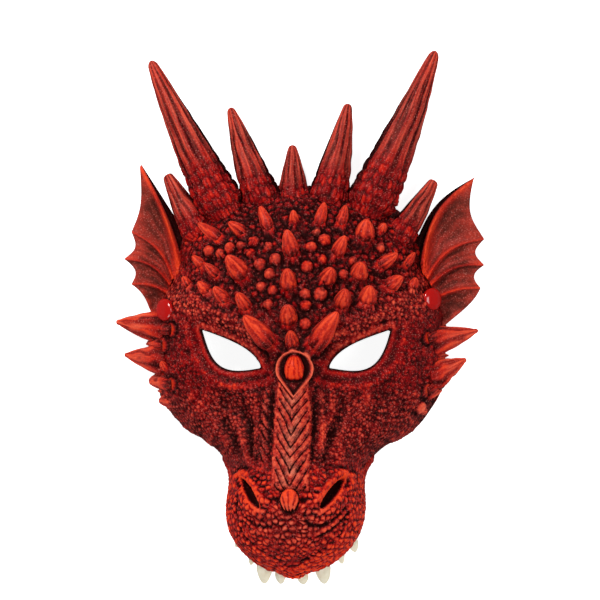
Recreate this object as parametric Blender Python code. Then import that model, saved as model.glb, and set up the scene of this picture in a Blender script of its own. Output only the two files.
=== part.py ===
"""Dragon mask, moulded in one piece, lying on its back with two strap rivets through its temples.

+Z points out of the face, +Y to the crown and +X to the right of someone who looks at the face.
The origin is the middle of the mask's outline, on the surface it lies on.
"""

import math

import bmesh
import bpy
import numpy as np
from mathutils import Matrix, Vector

# Driving sizes, in metres.
MASK_HEIGHT = 0.360  # from the tallest horn's tip to the lowest tooth's tip
WALL = 0.006  # thickness of the foam wall behind the carving
RIVET_CAP = 0.0150  # diameter of a rivet's domed cap
RIVET_CAP_EDGE = 0.0014  # height of the cap's straight edge
RIVET_CAP_RISE = 0.0030  # rise of its dome above that edge
RIVET_SHANK = 0.0050  # diameter of the shank that runs through the wall
RIVET_FLANGE = 0.0130  # diameter of the flange inside the mask
RIVET_FLANGE_EDGE = 0.0016  # thickness of that flange
SEAT_MARGIN = 0.0015  # how far the flat seat shows around the cap
FIT_GAP = 0.0003  # clearance between a rivet and the wall
SLIVER = 0.00003  # facets thinner than this are joined to their neighbours
FLAT_ENOUGH = math.radians(0.6)  # facets closer to one plane than this become one

# The carving is drawn in hundredths of the mask's height.
U = MASK_HEIGHT / 100.0

# Stations down the face: place along Y, half width, dome height, ridge height and rim height.
STATIONS = (
    (24.6, 8.5, 4.6, 0.0, 0.0),
    (24.0, 10.5, 5.8, 0.0, 0.0),
    (19.9, 18.5, 10.6, 0.0, 0.0),
    (15.2, 22.4, 13.6, 0.2, 0.0),
    (8.7, 23.6, 15.8, 0.6, 0.0),
    (0.8, 27.3, 16.8, 0.9, 0.0),
    (-4.4, 27.5, 16.6, 1.6, 0.0),
    (-10.0, 27.2, 15.6, 3.6, 0.0),
    (-13.9, 26.7, 14.8, 5.0, 0.0),
    (-17.5, 24.7, 14.6, 6.2, 0.0),
    (-21.7, 21.1, 15.8, 7.0, 1.0),
    (-24.7, 16.0, 18.6, 6.0, 3.8),
    (-27.1, 13.6, 21.0, 4.6, 6.4),
    (-31.0, 12.4, 24.0, 2.6, 9.2),
    (-35.1, 12.9, 26.0, 1.4, 11.4),
    (-39.8, 12.2, 25.8, 0.4, 13.4),
    (-42.8, 10.4, 24.4, 0.0, 14.6),
    (-45.1, 7.8, 22.4, 0.0, 15.4),
    (-47.1, 4.6, 20.4, 0.0, 16.0),
    (-48.8, 1.2, 18.6, 0.0, 16.4),
)
ARCH_POWER = 0.45  # a half ellipse has 0.5, and less makes the dome squarer
RIDGE_HALF = 5.4  # half width of the ridge down the nose
BODY_ROWS = 34
BODY_COLUMNS = 24
HOLLOW_ROWS = 17
HOLLOW_COLUMNS = 14
HOLLOW_END = -45.6  # where the hollow stops behind the lip

# Low relief, the same on both sides: start, end, height and half width of each soft ridge.
BROW_RIDGE = ((5.5, -4.6), (19.5, 3.2), 1.5, 2.2)
EYE_SOCKET = ((8.0, -9.0), (16.5, -4.6), -1.7, 3.4)
CHEEK_RIDGE = ((7.5, -14.6), (22.0, -9.4), 0.9, 1.7)
JAW_RIDGE = ((22.5, -14.5), (14.0, -23.0), 0.8, 2.0)
NOSTRIL_BULB = ((8.2, -29.6), (7.4, -33.0), 2.0, 3.6)
SOFT_RIDGES = (BROW_RIDGE, EYE_SOCKET, CHEEK_RIDGE, JAW_RIDGE, NOSTRIL_BULB)

# Eye holes, almonds between two corners.
EYE_INNER = (6.4, -9.7)
EYE_OUTER = (17.8, -2.5)
UPPER_LID = (1.5, 0.66)  # bulge from the line between the corners, and how it leans inwards
LOWER_LID = (3.9, 1.0)
LID_FACETS = 6

# Crown horns: root, tip and width, with the thickness as a share of the width.
HORNS = (
    ((-20.2, 18.4), (-25.1, 26.6), 4.5),
    ((-14.9, 21.9), (-27.8, 48.0), 8.5),
    ((-7.4, 23.8), (-13.1, 39.4), 6.7),
    ((-1.0, 23.9), (-1.3, 32.3), 5.2),
    ((5.8, 23.9), (9.3, 40.1), 6.9),
    ((13.9, 22.3), (25.8, 50.0), 9.2),
    ((20.2, 16.9), (25.5, 25.4), 5.2),
)
HORN_DEPTH = 0.72
HORN_ROOT_Z = 6.4
HORN_TIP_Z = 3.9
HORN_SINK = 4.0  # how far a horn's root runs on inside the crown
HORN_TAPER = 0.82
HORN_SIDES = 10
HORN_RINGS = 4
HORN_FLUTE = 0.09
CHEEK_SIDES = 6
CHEEK_RINGS = 2

# Spikes on the cheeks: root, tip and width.
CHEEK_SPIKES = (
    ((-24.8, -1.9), (-34.8, -1.1), 5.4),
    ((-25.0, -7.7), (-33.0, -7.3), 4.8),
    ((-25.0, -11.8), (-28.3, -12.4), 3.0),
    ((-24.0, -15.4), (-26.3, -15.9), 2.4),
    ((24.8, -2.9), (33.7, -2.5), 5.3),
    ((24.6, -8.6), (31.5, -8.0), 4.4),
    ((24.2, -12.9), (27.3, -13.3), 2.8),
    ((21.6, -17.0), (23.7, -17.9), 2.4),
)
CHEEK_DEPTH = 0.62
CHEEK_ROOT_Z = 3.9
CHEEK_TIP_Z = 2.9

# Fins behind the temples: root and tip of each rib, from the leading edge down.
LEFT_FIN = (
    ((-20.6, 16.0), (-29.6, 28.0)),
    ((-22.0, 9.0), (-30.3, 27.0)),
    ((-22.2, 7.8), (-31.5, 15.9)),
    ((-23.0, 6.2), (-32.9, 10.6)),
    ((-24.4, 4.0), (-31.6, 6.0)),
    ((-25.8, 1.4), (-28.6, 0.8)),
)
RIGHT_FIN = (
    ((20.6, 14.6), (32.7, 25.7)),
    ((22.2, 8.0), (32.2, 24.6)),
    ((22.3, 7.2), (34.8, 14.5)),
    ((23.2, 5.8), (34.4, 9.5)),
    ((24.6, 3.4), (33.7, 5.1)),
    ((26.0, 0.2), (31.6, 1.6)),
)
FIN_Z = 3.2  # height of the fin's middle plane above the surface it lies on
FIN_RIB = 0.85  # half thickness at a rib
FIN_WEB = 0.42  # half thickness of the web between ribs
FIN_SCALLOP = 0.16  # how far the edge draws in between ribs, as a share of their length
FIN_BOW = 0.06  # how far a rib bends, as a share of its length
FIN_ROWS = 4
WEB_FACETS = 2

# Knobs over the brow: root, width and length. They all lean away from one point between the eyes.
KNOB_FAN = (-0.8, -7.0)
KNOBS = (
    (-14.2, 14.4, 2.1, 5.6),
    (-9.6, 15.3, 2.2, 3.9),
    (-4.8, 15.8, 2.1, 5.3),
    (-0.3, 17.3, 1.7, 2.6),
    (4.2, 16.8, 2.1, 4.7),
    (8.3, 16.8, 1.9, 4.2),
    (12.7, 14.3, 3.3, 3.9),
    (-0.4, 11.0, 2.8, 5.3),
    (7.6, 11.3, 2.4, 4.2),
    (-9.5, 7.2, 3.3, 5.2),
    (-14.4, 7.2, 1.9, 3.8),
    (-17.4, 9.2, 1.7, 3.2),
    (-0.9, 5.0, 2.8, 3.9),
    (5.9, 6.5, 2.8, 2.8),
    (11.8, 7.2, 3.0, 3.0),
    (15.4, 9.2, 2.2, 4.5),
    (17.1, 5.3, 2.6, 3.6),
    (-0.9, -1.1, 3.0, 3.2),
    (8.6, 1.7, 2.8, 3.6),
    (13.5, 2.5, 3.0, 3.3),
    (-16.3, 4.2, 1.9, 3.1),
    (-12.8, 2.5, 2.4, 3.8),
    (-8.8, 1.2, 2.4, 3.6),
    (-4.2, -5.4, 3.8, 7.4),
    (3.7, -5.9, 3.8, 8.2),
)
KNOB_RISE = 1.0  # height of the tip above the skin, as a share of the width
KNOB_SINK = 0.6
KNOB_SPREAD = 1.35  # width at the root against the width given
KNOB_TAPER = 0.55
KNOB_SIDES = 6
KNOB_RINGS = 2

# Nose: a ring around a dome, a plate of chevrons below it, and a knob at the tip.
RING_CENTRE = (0.2, -9.7)
RING_RADII = (2.6, 3.2)
RING_THICKNESS = 0.75
RING_FACETS = 10
NOSE_DOME = 2.1
PLATE_TOP = -13.4
PLATE_END = -31.6
PLATE_HALF = (3.0, 3.5)  # half width at its top and at its end
PLATE_HEIGHT = 1.0
PLATE_BEVEL = 0.35
CHEVRONS = 8
CHEVRON_DROP = 2.6  # how far a chevron's point lies below its arms' ends
CHEVRON_GROOVE = 0.55
NOSE_KNOB = (0.0, -34.1)
NOSE_KNOB_RADIUS = 1.8
NOSE_KNOB_RISE = 1.7

# Nostrils: blind slits under a rolled rim.
NOSTRIL = (7.7, -33.0)
NOSTRIL_HALVES = (1.0, 3.0, 2.2)  # across, along and deep
NOSTRIL_TURN = math.radians(35.0)
NOSTRIL_ROLL = 0.75
LIP_ROLL = 1.05
LIP_START = -25.5
LIP_TURN = -46.6  # where the lip leaves the muzzle's side to run across its front
LIP_FACETS = 7

# Teeth, from the left corner of the lip round to the right: place across and length.
TEETH = (
    (-11.6, 1.2, 2.4),
    (-9.0, 1.4, 2.8),
    (-5.4, 2.7, 5.6),
    (-2.8, 1.9, 4.2),
    (1.2, 1.9, 4.2),
    (5.0, 2.6, 5.2),
    (8.4, 1.4, 2.8),
    (11.0, 1.6, 2.8),
)
TOOTH_LEAN = math.radians(38.0)  # how far a tooth points back from straight down the face
TOOTH_SIDES = 6

RIVETS = {"strap_rivet_left": (-24.9, 1.2), "strap_rivet_right": (25.0, 3.2)}
RIVET_TILT = math.radians(42.0)  # of a rivet's axis away from straight out of the face
RIVET_SIDES = 16
CAP_RINGS = 3


def clear_scene():
    for obj in list(bpy.data.objects):
        bpy.data.objects.remove(obj, do_unlink=True)


def curve_through(places, values, at):
    """A smooth curve through values at falling places, read at one place or many."""
    places = np.asarray(places, float)[::-1]
    values = np.asarray(values, float)[::-1]
    slopes = np.gradient(values, places)
    at = np.clip(at, places[0], places[-1])
    k = np.clip(np.searchsorted(places, at) - 1, 0, len(places) - 2)
    gap = places[k + 1] - places[k]
    t = (at - places[k]) / gap
    start = (1 + 2 * t) * (1 - t) ** 2 * values[k] + t * (1 - t) ** 2 * gap * slopes[k]
    end = t**2 * (3 - 2 * t) * values[k + 1] + t**2 * (t - 1) * gap * slopes[k + 1]
    return start + end


def station(y):
    """Half width, dome, ridge and rim height of the face at a place down it."""
    table = np.array(STATIONS)
    return [curve_through(table[:, 0], table[:, i], y) for i in range(1, 5)]


def soft_ridges(x, y):
    """The low relief at a place, mirrored about the middle of the face."""
    total = 0.0
    for (ax, ay), (bx, by), height, half in SOFT_RIDGES:
        along = ((np.abs(x) - ax) * (bx - ax) + (y - ay) * (by - ay)) / ((bx - ax) ** 2 + (by - ay) ** 2)
        t = np.clip(along, 0.0, 1.0)
        away = np.hypot(np.abs(x) - ax - t * (bx - ax), y - ay - t * (by - ay))
        total = total + height * np.exp(-((away / half) ** 2))
    return total


def skin(x, y, carved=True):
    """Height of the face's outer surface at a place on it."""
    half, dome, ridge, rim = station(y)
    across = np.clip(np.abs(x) / half, 0.0, 1.0)
    arch = (1.0 - across**2) ** ARCH_POWER
    z = rim + (dome - rim) * arch + ridge * np.exp(-((x / RIDGE_HALF) ** 2)) * arch
    return z + soft_ridges(x, y) * arch if carved else z


def section(y, columns, carved=True):
    """One row of points across the face, from rim to rim."""
    half = station(y)[0]
    angles = np.linspace(-math.pi / 2, math.pi / 2, columns + 1)
    x = half * np.sin(angles)
    return np.stack([x, np.full_like(x, y), skin(x, y, carved)], axis=1)


def mesh_object(name, points, faces):
    """An object from points in hundredths of the height."""
    mesh = bpy.data.meshes.new(name)
    mesh.from_pydata([tuple(float(c) * U for c in p) for p in points], [], faces)
    obj = bpy.data.objects.new(name, mesh)
    bpy.context.collection.objects.link(obj)
    bm = bmesh.new()
    bm.from_mesh(mesh)
    bmesh.ops.triangulate(bm, faces=bm.faces)
    bmesh.ops.recalc_face_normals(bm, faces=bm.faces)
    bm.to_mesh(mesh)
    bm.free()
    return obj


def lofted(name, rings, closed=True, caps=True):
    """Rings of equal count joined by quads. A closed ring meets itself, and caps fill both ends."""
    count = len(rings[0])
    points = [p for ring in rings for p in ring]
    faces = []
    for i in range(len(rings) - 1):
        for j in range(count if closed else count - 1):
            k = (j + 1) % count
            faces.append((i * count + j, i * count + k, (i + 1) * count + k, (i + 1) * count + j))
    if caps:
        faces.append(tuple(range(count)))
        faces.append(tuple((len(rings) - 1) * count + j for j in range(count)))
    return mesh_object(name, points, faces)


def combine(body, piece, operation):
    """Joins a piece to the body or cuts it out, and takes the piece away."""
    cut = body.modifiers.new("cut", "BOOLEAN")
    cut.operation = operation
    cut.solver = "EXACT"
    cut.object = piece
    bpy.context.view_layer.update()
    mesh = bpy.data.meshes.new_from_object(body.evaluated_get(bpy.context.evaluated_depsgraph_get()))
    body.modifiers.clear()
    body.data = mesh
    bpy.data.objects.remove(piece, do_unlink=True)


def thorn(name, root, tip, width, depth, sides, rings, taper, flute=0.0):
    """A tapering thorn from root to a pointed tip, its depth measured across its width and length."""
    root, tip = Vector(root), Vector(tip)
    axis = tip - root
    side = axis.cross(Vector((0, 0, 1))).normalized()
    out = side.cross(axis).normalized()
    points = []
    for i in range(rings + 1):
        t = i / (rings + 0.6)
        size = (1 - t) ** taper
        for j in range(sides):
            a = 2 * math.pi * j / sides
            r = size * (1 - flute * (j % 2))
            offset = side * (width / 2 * math.cos(a) * r) + out * (depth / 2 * math.sin(a) * r)
            points.append(root + axis * t + offset)
    points.append(tip)
    faces = [tuple(range(sides))]
    for i in range(rings):
        for j in range(sides):
            k = (j + 1) % sides
            faces.append((i * sides + j, i * sides + k, (i + 1) * sides + k, (i + 1) * sides + j))
    faces += [(rings * sides + j, rings * sides + (j + 1) % sides, len(points) - 1) for j in range(sides)]
    return mesh_object(name, points, faces)


def tube(name, path, radius, sides, closed=False):
    """A round bar along a path, its sides turned with the path."""
    path = [Vector(p) for p in path]
    count = len(path)
    rings = []
    for i, p in enumerate(path):
        before = path[i - 1] if closed or i else p
        after = path[(i + 1) % count] if closed or i < count - 1 else p
        along = (after - before).normalized()
        side = along.cross(Vector((0, 0, 1))).normalized()
        out = side.cross(along)
        turn = [2 * math.pi * j / sides for j in range(sides)]
        rings.append([p + side * (radius * math.cos(a)) + out * (radius * math.sin(a)) for a in turn])
    if closed:
        rings.append(rings[0])
        obj = lofted(name, rings, caps=False)
        bm = bmesh.new()
        bm.from_mesh(obj.data)
        bmesh.ops.remove_doubles(bm, verts=bm.verts, dist=U * 0.001)
        bm.to_mesh(obj.data)
        bm.free()
        return obj
    return lofted(name, rings)


def dome(name, x, y, radius, rise, sink=1.0, sides=8):
    """A low round knob on the skin."""
    z = skin(x, y)
    rings = []
    for r, h in ((1.0, -sink), (1.0, 0.0), (0.8, 0.62), (0.42, 0.92)):
        turn = [2 * math.pi * j / sides for j in range(sides)]
        height = z + (h if h < 0 else h * rise)
        rings.append([(x + radius * r * math.cos(a), y + radius * r * math.sin(a), height) for a in turn])
    return lofted(name, rings)


def face_block():
    """The outer form of the face, closed below at its rim."""
    places = np.linspace(STATIONS[0][0], STATIONS[-1][0], BODY_ROWS + 1)
    return lofted("mask_body", [section(y, BODY_COLUMNS) for y in places])


def hollow_block():
    """The space behind the face: its outer form moved inwards by the wall, and open below."""
    wall = WALL / U
    places = np.linspace(STATIONS[0][0], HOLLOW_END, HOLLOW_ROWS + 1)
    rows = np.array([section(y, HOLLOW_COLUMNS, carved=False) for y in places])
    down_face = np.gradient(rows, axis=0)
    across_face = np.gradient(rows, axis=1)
    normals = np.cross(down_face, across_face)
    normals /= np.linalg.norm(normals, axis=2, keepdims=True)
    normals *= np.sign(normals[:, HOLLOW_COLUMNS // 2, 2])[:, None, None]
    inner = rows - normals * wall
    inner[:, 0] = rows[:, 0] + np.array([wall, 0, 0])
    inner[:, -1] = rows[:, -1] - np.array([wall, 0, 0])
    inner[:, :, 1] = np.minimum(inner[:, :, 1], STATIONS[0][0] - wall)
    floor_z = -2.0 * wall
    rings = []
    for row in inner:
        left = [(row[0][0], row[0][1], floor_z)]
        right = [(row[-1][0], row[-1][1], floor_z)]
        rings.append(left + [tuple(p) for p in row] + right)
    return lofted("hollow", rings)


def horn_objects():
    for number, (root, tip, width) in enumerate(HORNS):
        along = Vector((tip[0] - root[0], tip[1] - root[1]))
        sunk = HORN_SINK / along.length
        start = (root[0] - along.x * sunk, root[1] - along.y * sunk, HORN_ROOT_Z)
        end = (tip[0], tip[1], HORN_TIP_Z)
        wide = width * (1.0 + sunk) ** HORN_TAPER
        deep = wide * HORN_DEPTH
        yield thorn(f"horn_{number}", start, end, wide, deep, HORN_SIDES, HORN_RINGS, HORN_TAPER, HORN_FLUTE)


def cheek_objects():
    for number, (root, tip, width) in enumerate(CHEEK_SPIKES):
        start = (root[0], root[1], CHEEK_ROOT_Z)
        end = (tip[0], tip[1], CHEEK_TIP_Z)
        yield thorn(f"cheek_{number}", start, end, width, width * CHEEK_DEPTH, CHEEK_SIDES, CHEEK_RINGS, HORN_TAPER)


def knob_objects():
    for number, (x, y, width, length) in enumerate(KNOBS):
        away = Vector((x - KNOB_FAN[0], y - KNOB_FAN[1] + abs(x) * 0.2)).normalized()
        foot = (x + away.x * length * 0.3, y + away.y * length * 0.3)
        point = (x + away.x * length, y + away.y * length)
        start = (foot[0], foot[1], skin(*foot) - KNOB_SINK)
        end = (point[0], point[1], skin(*point) + width * KNOB_RISE)
        spread = width * KNOB_SPREAD
        yield thorn(f"knob_{number}", start, end, spread, spread, KNOB_SIDES, KNOB_RINGS, KNOB_TAPER)


def fin(name, ribs):
    """A fin with a web between its ribs, thicker at the ribs, as one closed form."""
    columns = []
    for (root_a, tip_a), (root_b, tip_b) in zip(ribs[:-1], ribs[1:]):
        for k in range(WEB_FACETS):
            columns.append((root_a, tip_a, root_b, tip_b, k / WEB_FACETS))
    columns.append((*ribs[-1], *ribs[-1], 0.0))
    rings = []
    for root_a, tip_a, root_b, tip_b, s in columns:
        root = Vector(root_a).lerp(Vector(root_b), s)
        tip = Vector(tip_a).lerp(Vector(tip_b), s)
        reach = 1.0 - FIN_SCALLOP * math.sin(math.pi * s)
        bend = Vector((tip.y - root.y, root.x - tip.x)) * math.copysign(FIN_BOW, root.x)
        half = FIN_RIB + (FIN_WEB - FIN_RIB) * math.sin(math.pi * s)
        line = []
        for i in range(FIN_ROWS + 1):
            t = reach * i / FIN_ROWS
            p = root.lerp(tip, t) - bend * math.sin(math.pi * t)
            line.append((p, half * (1.0 - 0.55 * t)))
        top = [(p.x, p.y, FIN_Z + h) for p, h in line]
        under = [(p.x, p.y, FIN_Z - h) for p, h in reversed(line)]
        rings.append(top + under)
    return lofted(name, rings)


def nose_plate():
    """The plate down the nose: rows of ridge and groove bent into chevrons."""
    rings = []
    rows = 2 * CHEVRONS
    for i in range(rows + 1):
        t = i / rows
        y = PLATE_TOP + (PLATE_END - PLATE_TOP) * t
        half = PLATE_HALF[0] + (PLATE_HALF[1] - PLATE_HALF[0]) * t
        groove = CHEVRON_GROOVE * (i % 2)
        top, under = [], []
        for share in (-1.0, -0.5, 0.0, 0.5, 1.0):
            x = half * share
            place = y + CHEVRON_DROP * (abs(share) - 0.5)
            edge = PLATE_BEVEL if abs(share) == 1.0 else 0.0
            top.append((x, place, skin(x, place) + PLATE_HEIGHT - groove - edge))
            under.append((x, place, skin(x, place) - PLATE_HEIGHT))
        rings.append(top + under[::-1])
    return lofted("plate", rings)


def nose_ring():
    path = []
    for i in range(RING_FACETS):
        a = 2 * math.pi * i / RING_FACETS
        pinch = 1.0 - 0.35 * max(0.0, -math.sin(a)) ** 2
        x = RING_CENTRE[0] + RING_RADII[0] * math.cos(a) * pinch
        y = RING_CENTRE[1] + RING_RADII[1] * math.sin(a)
        path.append((x, y, skin(x, y) + RING_THICKNESS * 0.45))
    return tube("ring", path, RING_THICKNESS, 5, closed=True)


def nostril_roll(side):
    path = []
    for i in range(8):
        a = math.radians(-50.0 + 230.0 * i / 7)
        u = NOSTRIL_HALVES[0] * 2.1 * math.cos(a)
        v = NOSTRIL_HALVES[1] * 1.15 * math.sin(a)
        x = NOSTRIL[0] + u * math.cos(NOSTRIL_TURN) + v * math.sin(NOSTRIL_TURN)
        y = NOSTRIL[1] - u * math.sin(NOSTRIL_TURN) + v * math.cos(NOSTRIL_TURN)
        path.append((side * x, y, skin(x, y) + NOSTRIL_ROLL * 0.2))
    return tube("roll", path, NOSTRIL_ROLL, 5)


def nostril_slit(side):
    """A blind slit sunk in the skin, widest at the surface."""
    rings = []
    z = skin(*NOSTRIL)
    for depth, size in ((3.0, 1.0), (0.0, 1.0), (-NOSTRIL_HALVES[2], 0.5)):
        ring = []
        for i in range(8):
            a = 2 * math.pi * i / 8
            u = NOSTRIL_HALVES[0] * size * math.cos(a)
            v = NOSTRIL_HALVES[1] * size * math.sin(a)
            x = NOSTRIL[0] + u * math.cos(NOSTRIL_TURN) + v * math.sin(NOSTRIL_TURN)
            y = NOSTRIL[1] - u * math.sin(NOSTRIL_TURN) + v * math.cos(NOSTRIL_TURN)
            ring.append((side * x, y, z + depth))
        rings.append(ring)
    return lofted("slit", rings)


def lip_roll():
    """The rolled lip along the rim of the muzzle, from one corner round to the other."""
    places = LIP_START + (LIP_TURN - LIP_START) * np.sin(np.linspace(0, math.pi / 2, LIP_FACETS + 1))
    right = [(station(y)[0], y, station(y)[3] + LIP_ROLL * 0.7) for y in places]
    left = [(-x, y, z) for x, y, z in reversed(right)]
    front = (0.0, STATIONS[-1][0] + LIP_ROLL * 0.5, STATIONS[-1][4] + LIP_ROLL * 0.7)
    return tube("lip", right + [front] + left, LIP_ROLL, 6)


def lip_place(x):
    """The place down the face where the lip's edge is this far from the middle."""
    places = np.linspace(-33.0, STATIONS[-1][0], 120)
    return float(places[np.argmin(np.abs(station(places)[0] - abs(x)))])


def tooth_objects():
    lowest = -50.0
    for number, (x, width, length) in enumerate(TEETH):
        y = lip_place(x)
        z = station(y)[3] + LIP_ROLL * 0.4
        inset = 0.55
        start = (x * 0.97, y + inset, z)
        end_y = max(lowest, y - length * math.cos(TOOTH_LEAN))
        end = (x * 1.02, end_y, z - length * math.sin(TOOTH_LEAN))
        yield thorn(f"tooth_{number}", start, end, width, width, TOOTH_SIDES, 2, 0.7)


def eye_cutter(side):
    """An almond through the face, straight out of it."""
    inner, outer = Vector(EYE_INNER), Vector(EYE_OUTER)
    chord = outer - inner
    up = Vector((-chord.y, chord.x)).normalized()
    outline = []
    for (bulge, lean), sign, order in ((UPPER_LID, 1, 1), (LOWER_LID, -1, -1)):
        for i in range(LID_FACETS):
            t = i / LID_FACETS if order > 0 else 1 - i / LID_FACETS
            outline.append(inner + chord * t + up * (sign * bulge * math.sin(math.pi * t**lean)))
    rings = [[(side * p.x, p.y, z) for p in outline] for z in (-3.0, 26.0)]
    return lofted("eye", rings)


def turned(name, profile, sides):
    """A solid of revolution about Z from a profile of radius and height, in metres."""
    rings = []
    for radius, height in profile:
        turn = [2 * math.pi * j / sides for j in range(sides)]
        rings.append([(radius * math.cos(a) / U, radius * math.sin(a) / U, height / U) for a in turn])
    return lofted(name, rings)


def rivet_matrix(place):
    """Where a rivet's seat is: on the skin, its axis tilted to the side."""
    x, y = place
    tilt = Matrix.Rotation(math.copysign(RIVET_TILT, x), 4, "Y")
    return Matrix.Translation((x * U, y * U, float(skin(x, y)) * U)) @ tilt


def place_by(obj, matrix):
    obj.data.transform(matrix)
    return obj


def seat_disc(place):
    """A round patch of wall for a rivet, thick enough to be cut flat on both faces."""
    radius = RIVET_CAP / 2 + SEAT_MARGIN
    spare = WALL / 4
    return place_by(turned("seat", ((radius, -WALL - spare), (radius, spare)), RIVET_SIDES), rivet_matrix(place))


def seat_cutters(place):
    """What is cleared away: all above the seat, all below it and the shank's hole through it."""
    matrix = rivet_matrix(place)
    clear = RIVET_CAP / 2 + 1.4 * SEAT_MARGIN
    hole = RIVET_SHANK / 2 + FIT_GAP
    reach = 3 * WALL
    yield place_by(turned("above", ((clear, 0.0), (clear, reach)), RIVET_SIDES), matrix)
    yield place_by(turned("below", ((clear, -reach), (clear, -WALL)), RIVET_SIDES), matrix)
    yield place_by(turned("hole", ((hole, -reach), (hole, reach)), RIVET_SIDES), matrix)


def tidy_mesh(obj):
    """Joins the slivers that cutting leaves, and the facets that lie in one plane."""
    bm = bmesh.new()
    bm.from_mesh(obj.data)
    bmesh.ops.remove_doubles(bm, verts=bm.verts, dist=SLIVER)
    bmesh.ops.dissolve_degenerate(bm, edges=bm.edges, dist=SLIVER)
    bmesh.ops.dissolve_limit(bm, angle_limit=FLAT_ENOUGH, verts=bm.verts, edges=bm.edges)
    bmesh.ops.triangulate(bm, faces=bm.faces)
    bmesh.ops.dissolve_degenerate(bm, edges=bm.edges, dist=SLIVER)
    bm.to_mesh(obj.data)
    bm.free()


def rivet(name, place):
    """Cap, shank and inner flange in one, a fit gap clear of the wall all round."""
    cap = RIVET_CAP / 2
    shank = RIVET_SHANK / 2
    flange = RIVET_FLANGE / 2
    inner = -WALL - FIT_GAP
    profile = [(flange, inner - RIVET_FLANGE_EDGE), (flange, inner), (shank, inner), (shank, FIT_GAP)]
    profile += [(cap, FIT_GAP), (cap, FIT_GAP + RIVET_CAP_EDGE)]
    for i in range(1, CAP_RINGS + 1):
        a = math.pi / 2 * i / (CAP_RINGS + 0.5)
        profile.append((cap * math.cos(a), FIT_GAP + RIVET_CAP_EDGE + RIVET_CAP_RISE * math.sin(a)))
    return place_by(turned(name, profile, RIVET_SIDES), rivet_matrix(place))


def finish(obj, name, colour, roughness):
    """Gives a node its material, and flat shading broken only at sharp edges."""
    material = bpy.data.materials.new(name)
    material.use_nodes = True
    shader = material.node_tree.nodes["Principled BSDF"]
    shader.inputs["Base Color"].default_value = (*colour, 1.0)
    shader.inputs["Roughness"].default_value = roughness
    shader.inputs["Metallic"].default_value = 0.0
    obj.data.materials.clear()
    obj.data.materials.append(material)
    obj.data.shade_smooth()
    obj.data.set_sharp_from_angle(angle=math.radians(35.0))


def build():
    clear_scene()
    body = face_block()
    added = [lip_roll(), fin("fin_left", LEFT_FIN), fin("fin_right", RIGHT_FIN)]
    added += list(horn_objects()) + list(cheek_objects()) + list(knob_objects()) + list(tooth_objects())
    added += [nose_plate(), nose_ring(), dome("nose_dome", *RING_CENTRE, NOSE_DOME, 1.3)]
    added += [dome("nose_knob", *NOSE_KNOB, NOSE_KNOB_RADIUS, NOSE_KNOB_RISE)]
    added += [nostril_roll(side) for side in (-1, 1)]
    for piece in added:
        combine(body, piece, "UNION")
    combine(body, hollow_block(), "DIFFERENCE")
    for side in (-1, 1):
        combine(body, eye_cutter(side), "DIFFERENCE")
        combine(body, nostril_slit(side), "DIFFERENCE")
    for place in RIVETS.values():
        combine(body, seat_disc(place), "UNION")
        for cutter in seat_cutters(place):
            combine(body, cutter, "DIFFERENCE")
    tidy_mesh(body)
    finish(body, "painted polyurethane foam", (0.30, 0.012, 0.010), 0.42)
    for name, place in RIVETS.items():
        finish(rivet(name, place), "glossy red plastic", (0.62, 0.015, 0.012), 0.18)


build()
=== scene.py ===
"""Looks of a dragon mask moulded in polyurethane foam, lying on its back on a pale studio floor.

The mask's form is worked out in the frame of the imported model: +Z out of the face, +Y to the crown
and +X to the right of someone who looks at the face. Heights and distances are in millimetres, and
tables of places, widths and lengths are in hundredths of the mask's height.
"""

import logging
import math
from dataclasses import dataclass, field, replace
from enum import Enum
from typing import Any, Iterable, Iterator, Sequence

import bmesh
import bpy
import numpy as np
from bpy.types import Material, Mesh, Node, NodeTree, Object
from mathutils import Matrix, Vector

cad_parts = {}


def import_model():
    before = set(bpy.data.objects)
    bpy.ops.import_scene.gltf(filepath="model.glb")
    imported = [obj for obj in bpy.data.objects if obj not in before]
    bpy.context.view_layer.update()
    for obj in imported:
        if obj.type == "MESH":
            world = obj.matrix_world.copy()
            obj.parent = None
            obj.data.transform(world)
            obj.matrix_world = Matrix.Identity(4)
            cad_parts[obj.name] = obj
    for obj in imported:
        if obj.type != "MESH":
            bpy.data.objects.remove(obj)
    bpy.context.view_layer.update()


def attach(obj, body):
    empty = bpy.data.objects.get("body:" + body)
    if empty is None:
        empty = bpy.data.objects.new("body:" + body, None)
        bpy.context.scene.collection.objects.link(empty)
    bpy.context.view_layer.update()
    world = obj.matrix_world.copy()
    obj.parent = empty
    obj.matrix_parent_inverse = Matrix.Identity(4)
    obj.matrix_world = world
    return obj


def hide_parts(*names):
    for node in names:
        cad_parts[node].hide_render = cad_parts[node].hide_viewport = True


LOG = logging.getLogger("dragon_mask")
BODY = "root"
SHELL_NODE = "mask_body"
METRES = 0.001
MASK_HEIGHT = 360.0
HUNDREDTH = MASK_HEIGHT / 100.0
UP = np.array([0.0, 0.0, 1.0])
MIRROR = np.array([-1.0, 1.0, 1.0])
FAR = 1e9
TINY = 1e-9
WHITE = (1.0, 1.0, 1.0, 1.0)

Pair = tuple[float, float]
Triple = tuple[float, float, float]
Spike = tuple[Pair, Pair, float]  # root, tip and width
Arrays = tuple[np.ndarray, np.ndarray]
Objects = list[Object]
Table = dict[Any, Any] | None


class Slot(Enum):
    """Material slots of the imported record."""

    FOAM = "painted_foam"
    RIVET = "red_rivet"


def linear(colour: str) -> tuple[float, float, float, float]:
    """Turns an sRGB hex colour into linear light.

    Args:
        colour: six hex digits after a hash sign.

    Returns:
        Linear red, green and blue with an alpha of one.
    """
    parts = [int(colour[i : i + 2], 16) / 255 for i in (1, 3, 5)]
    return (*[p / 12.92 if p <= 0.04045 else ((p + 0.055) / 1.055) ** 2.4 for p in parts], 1.0)


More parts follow.
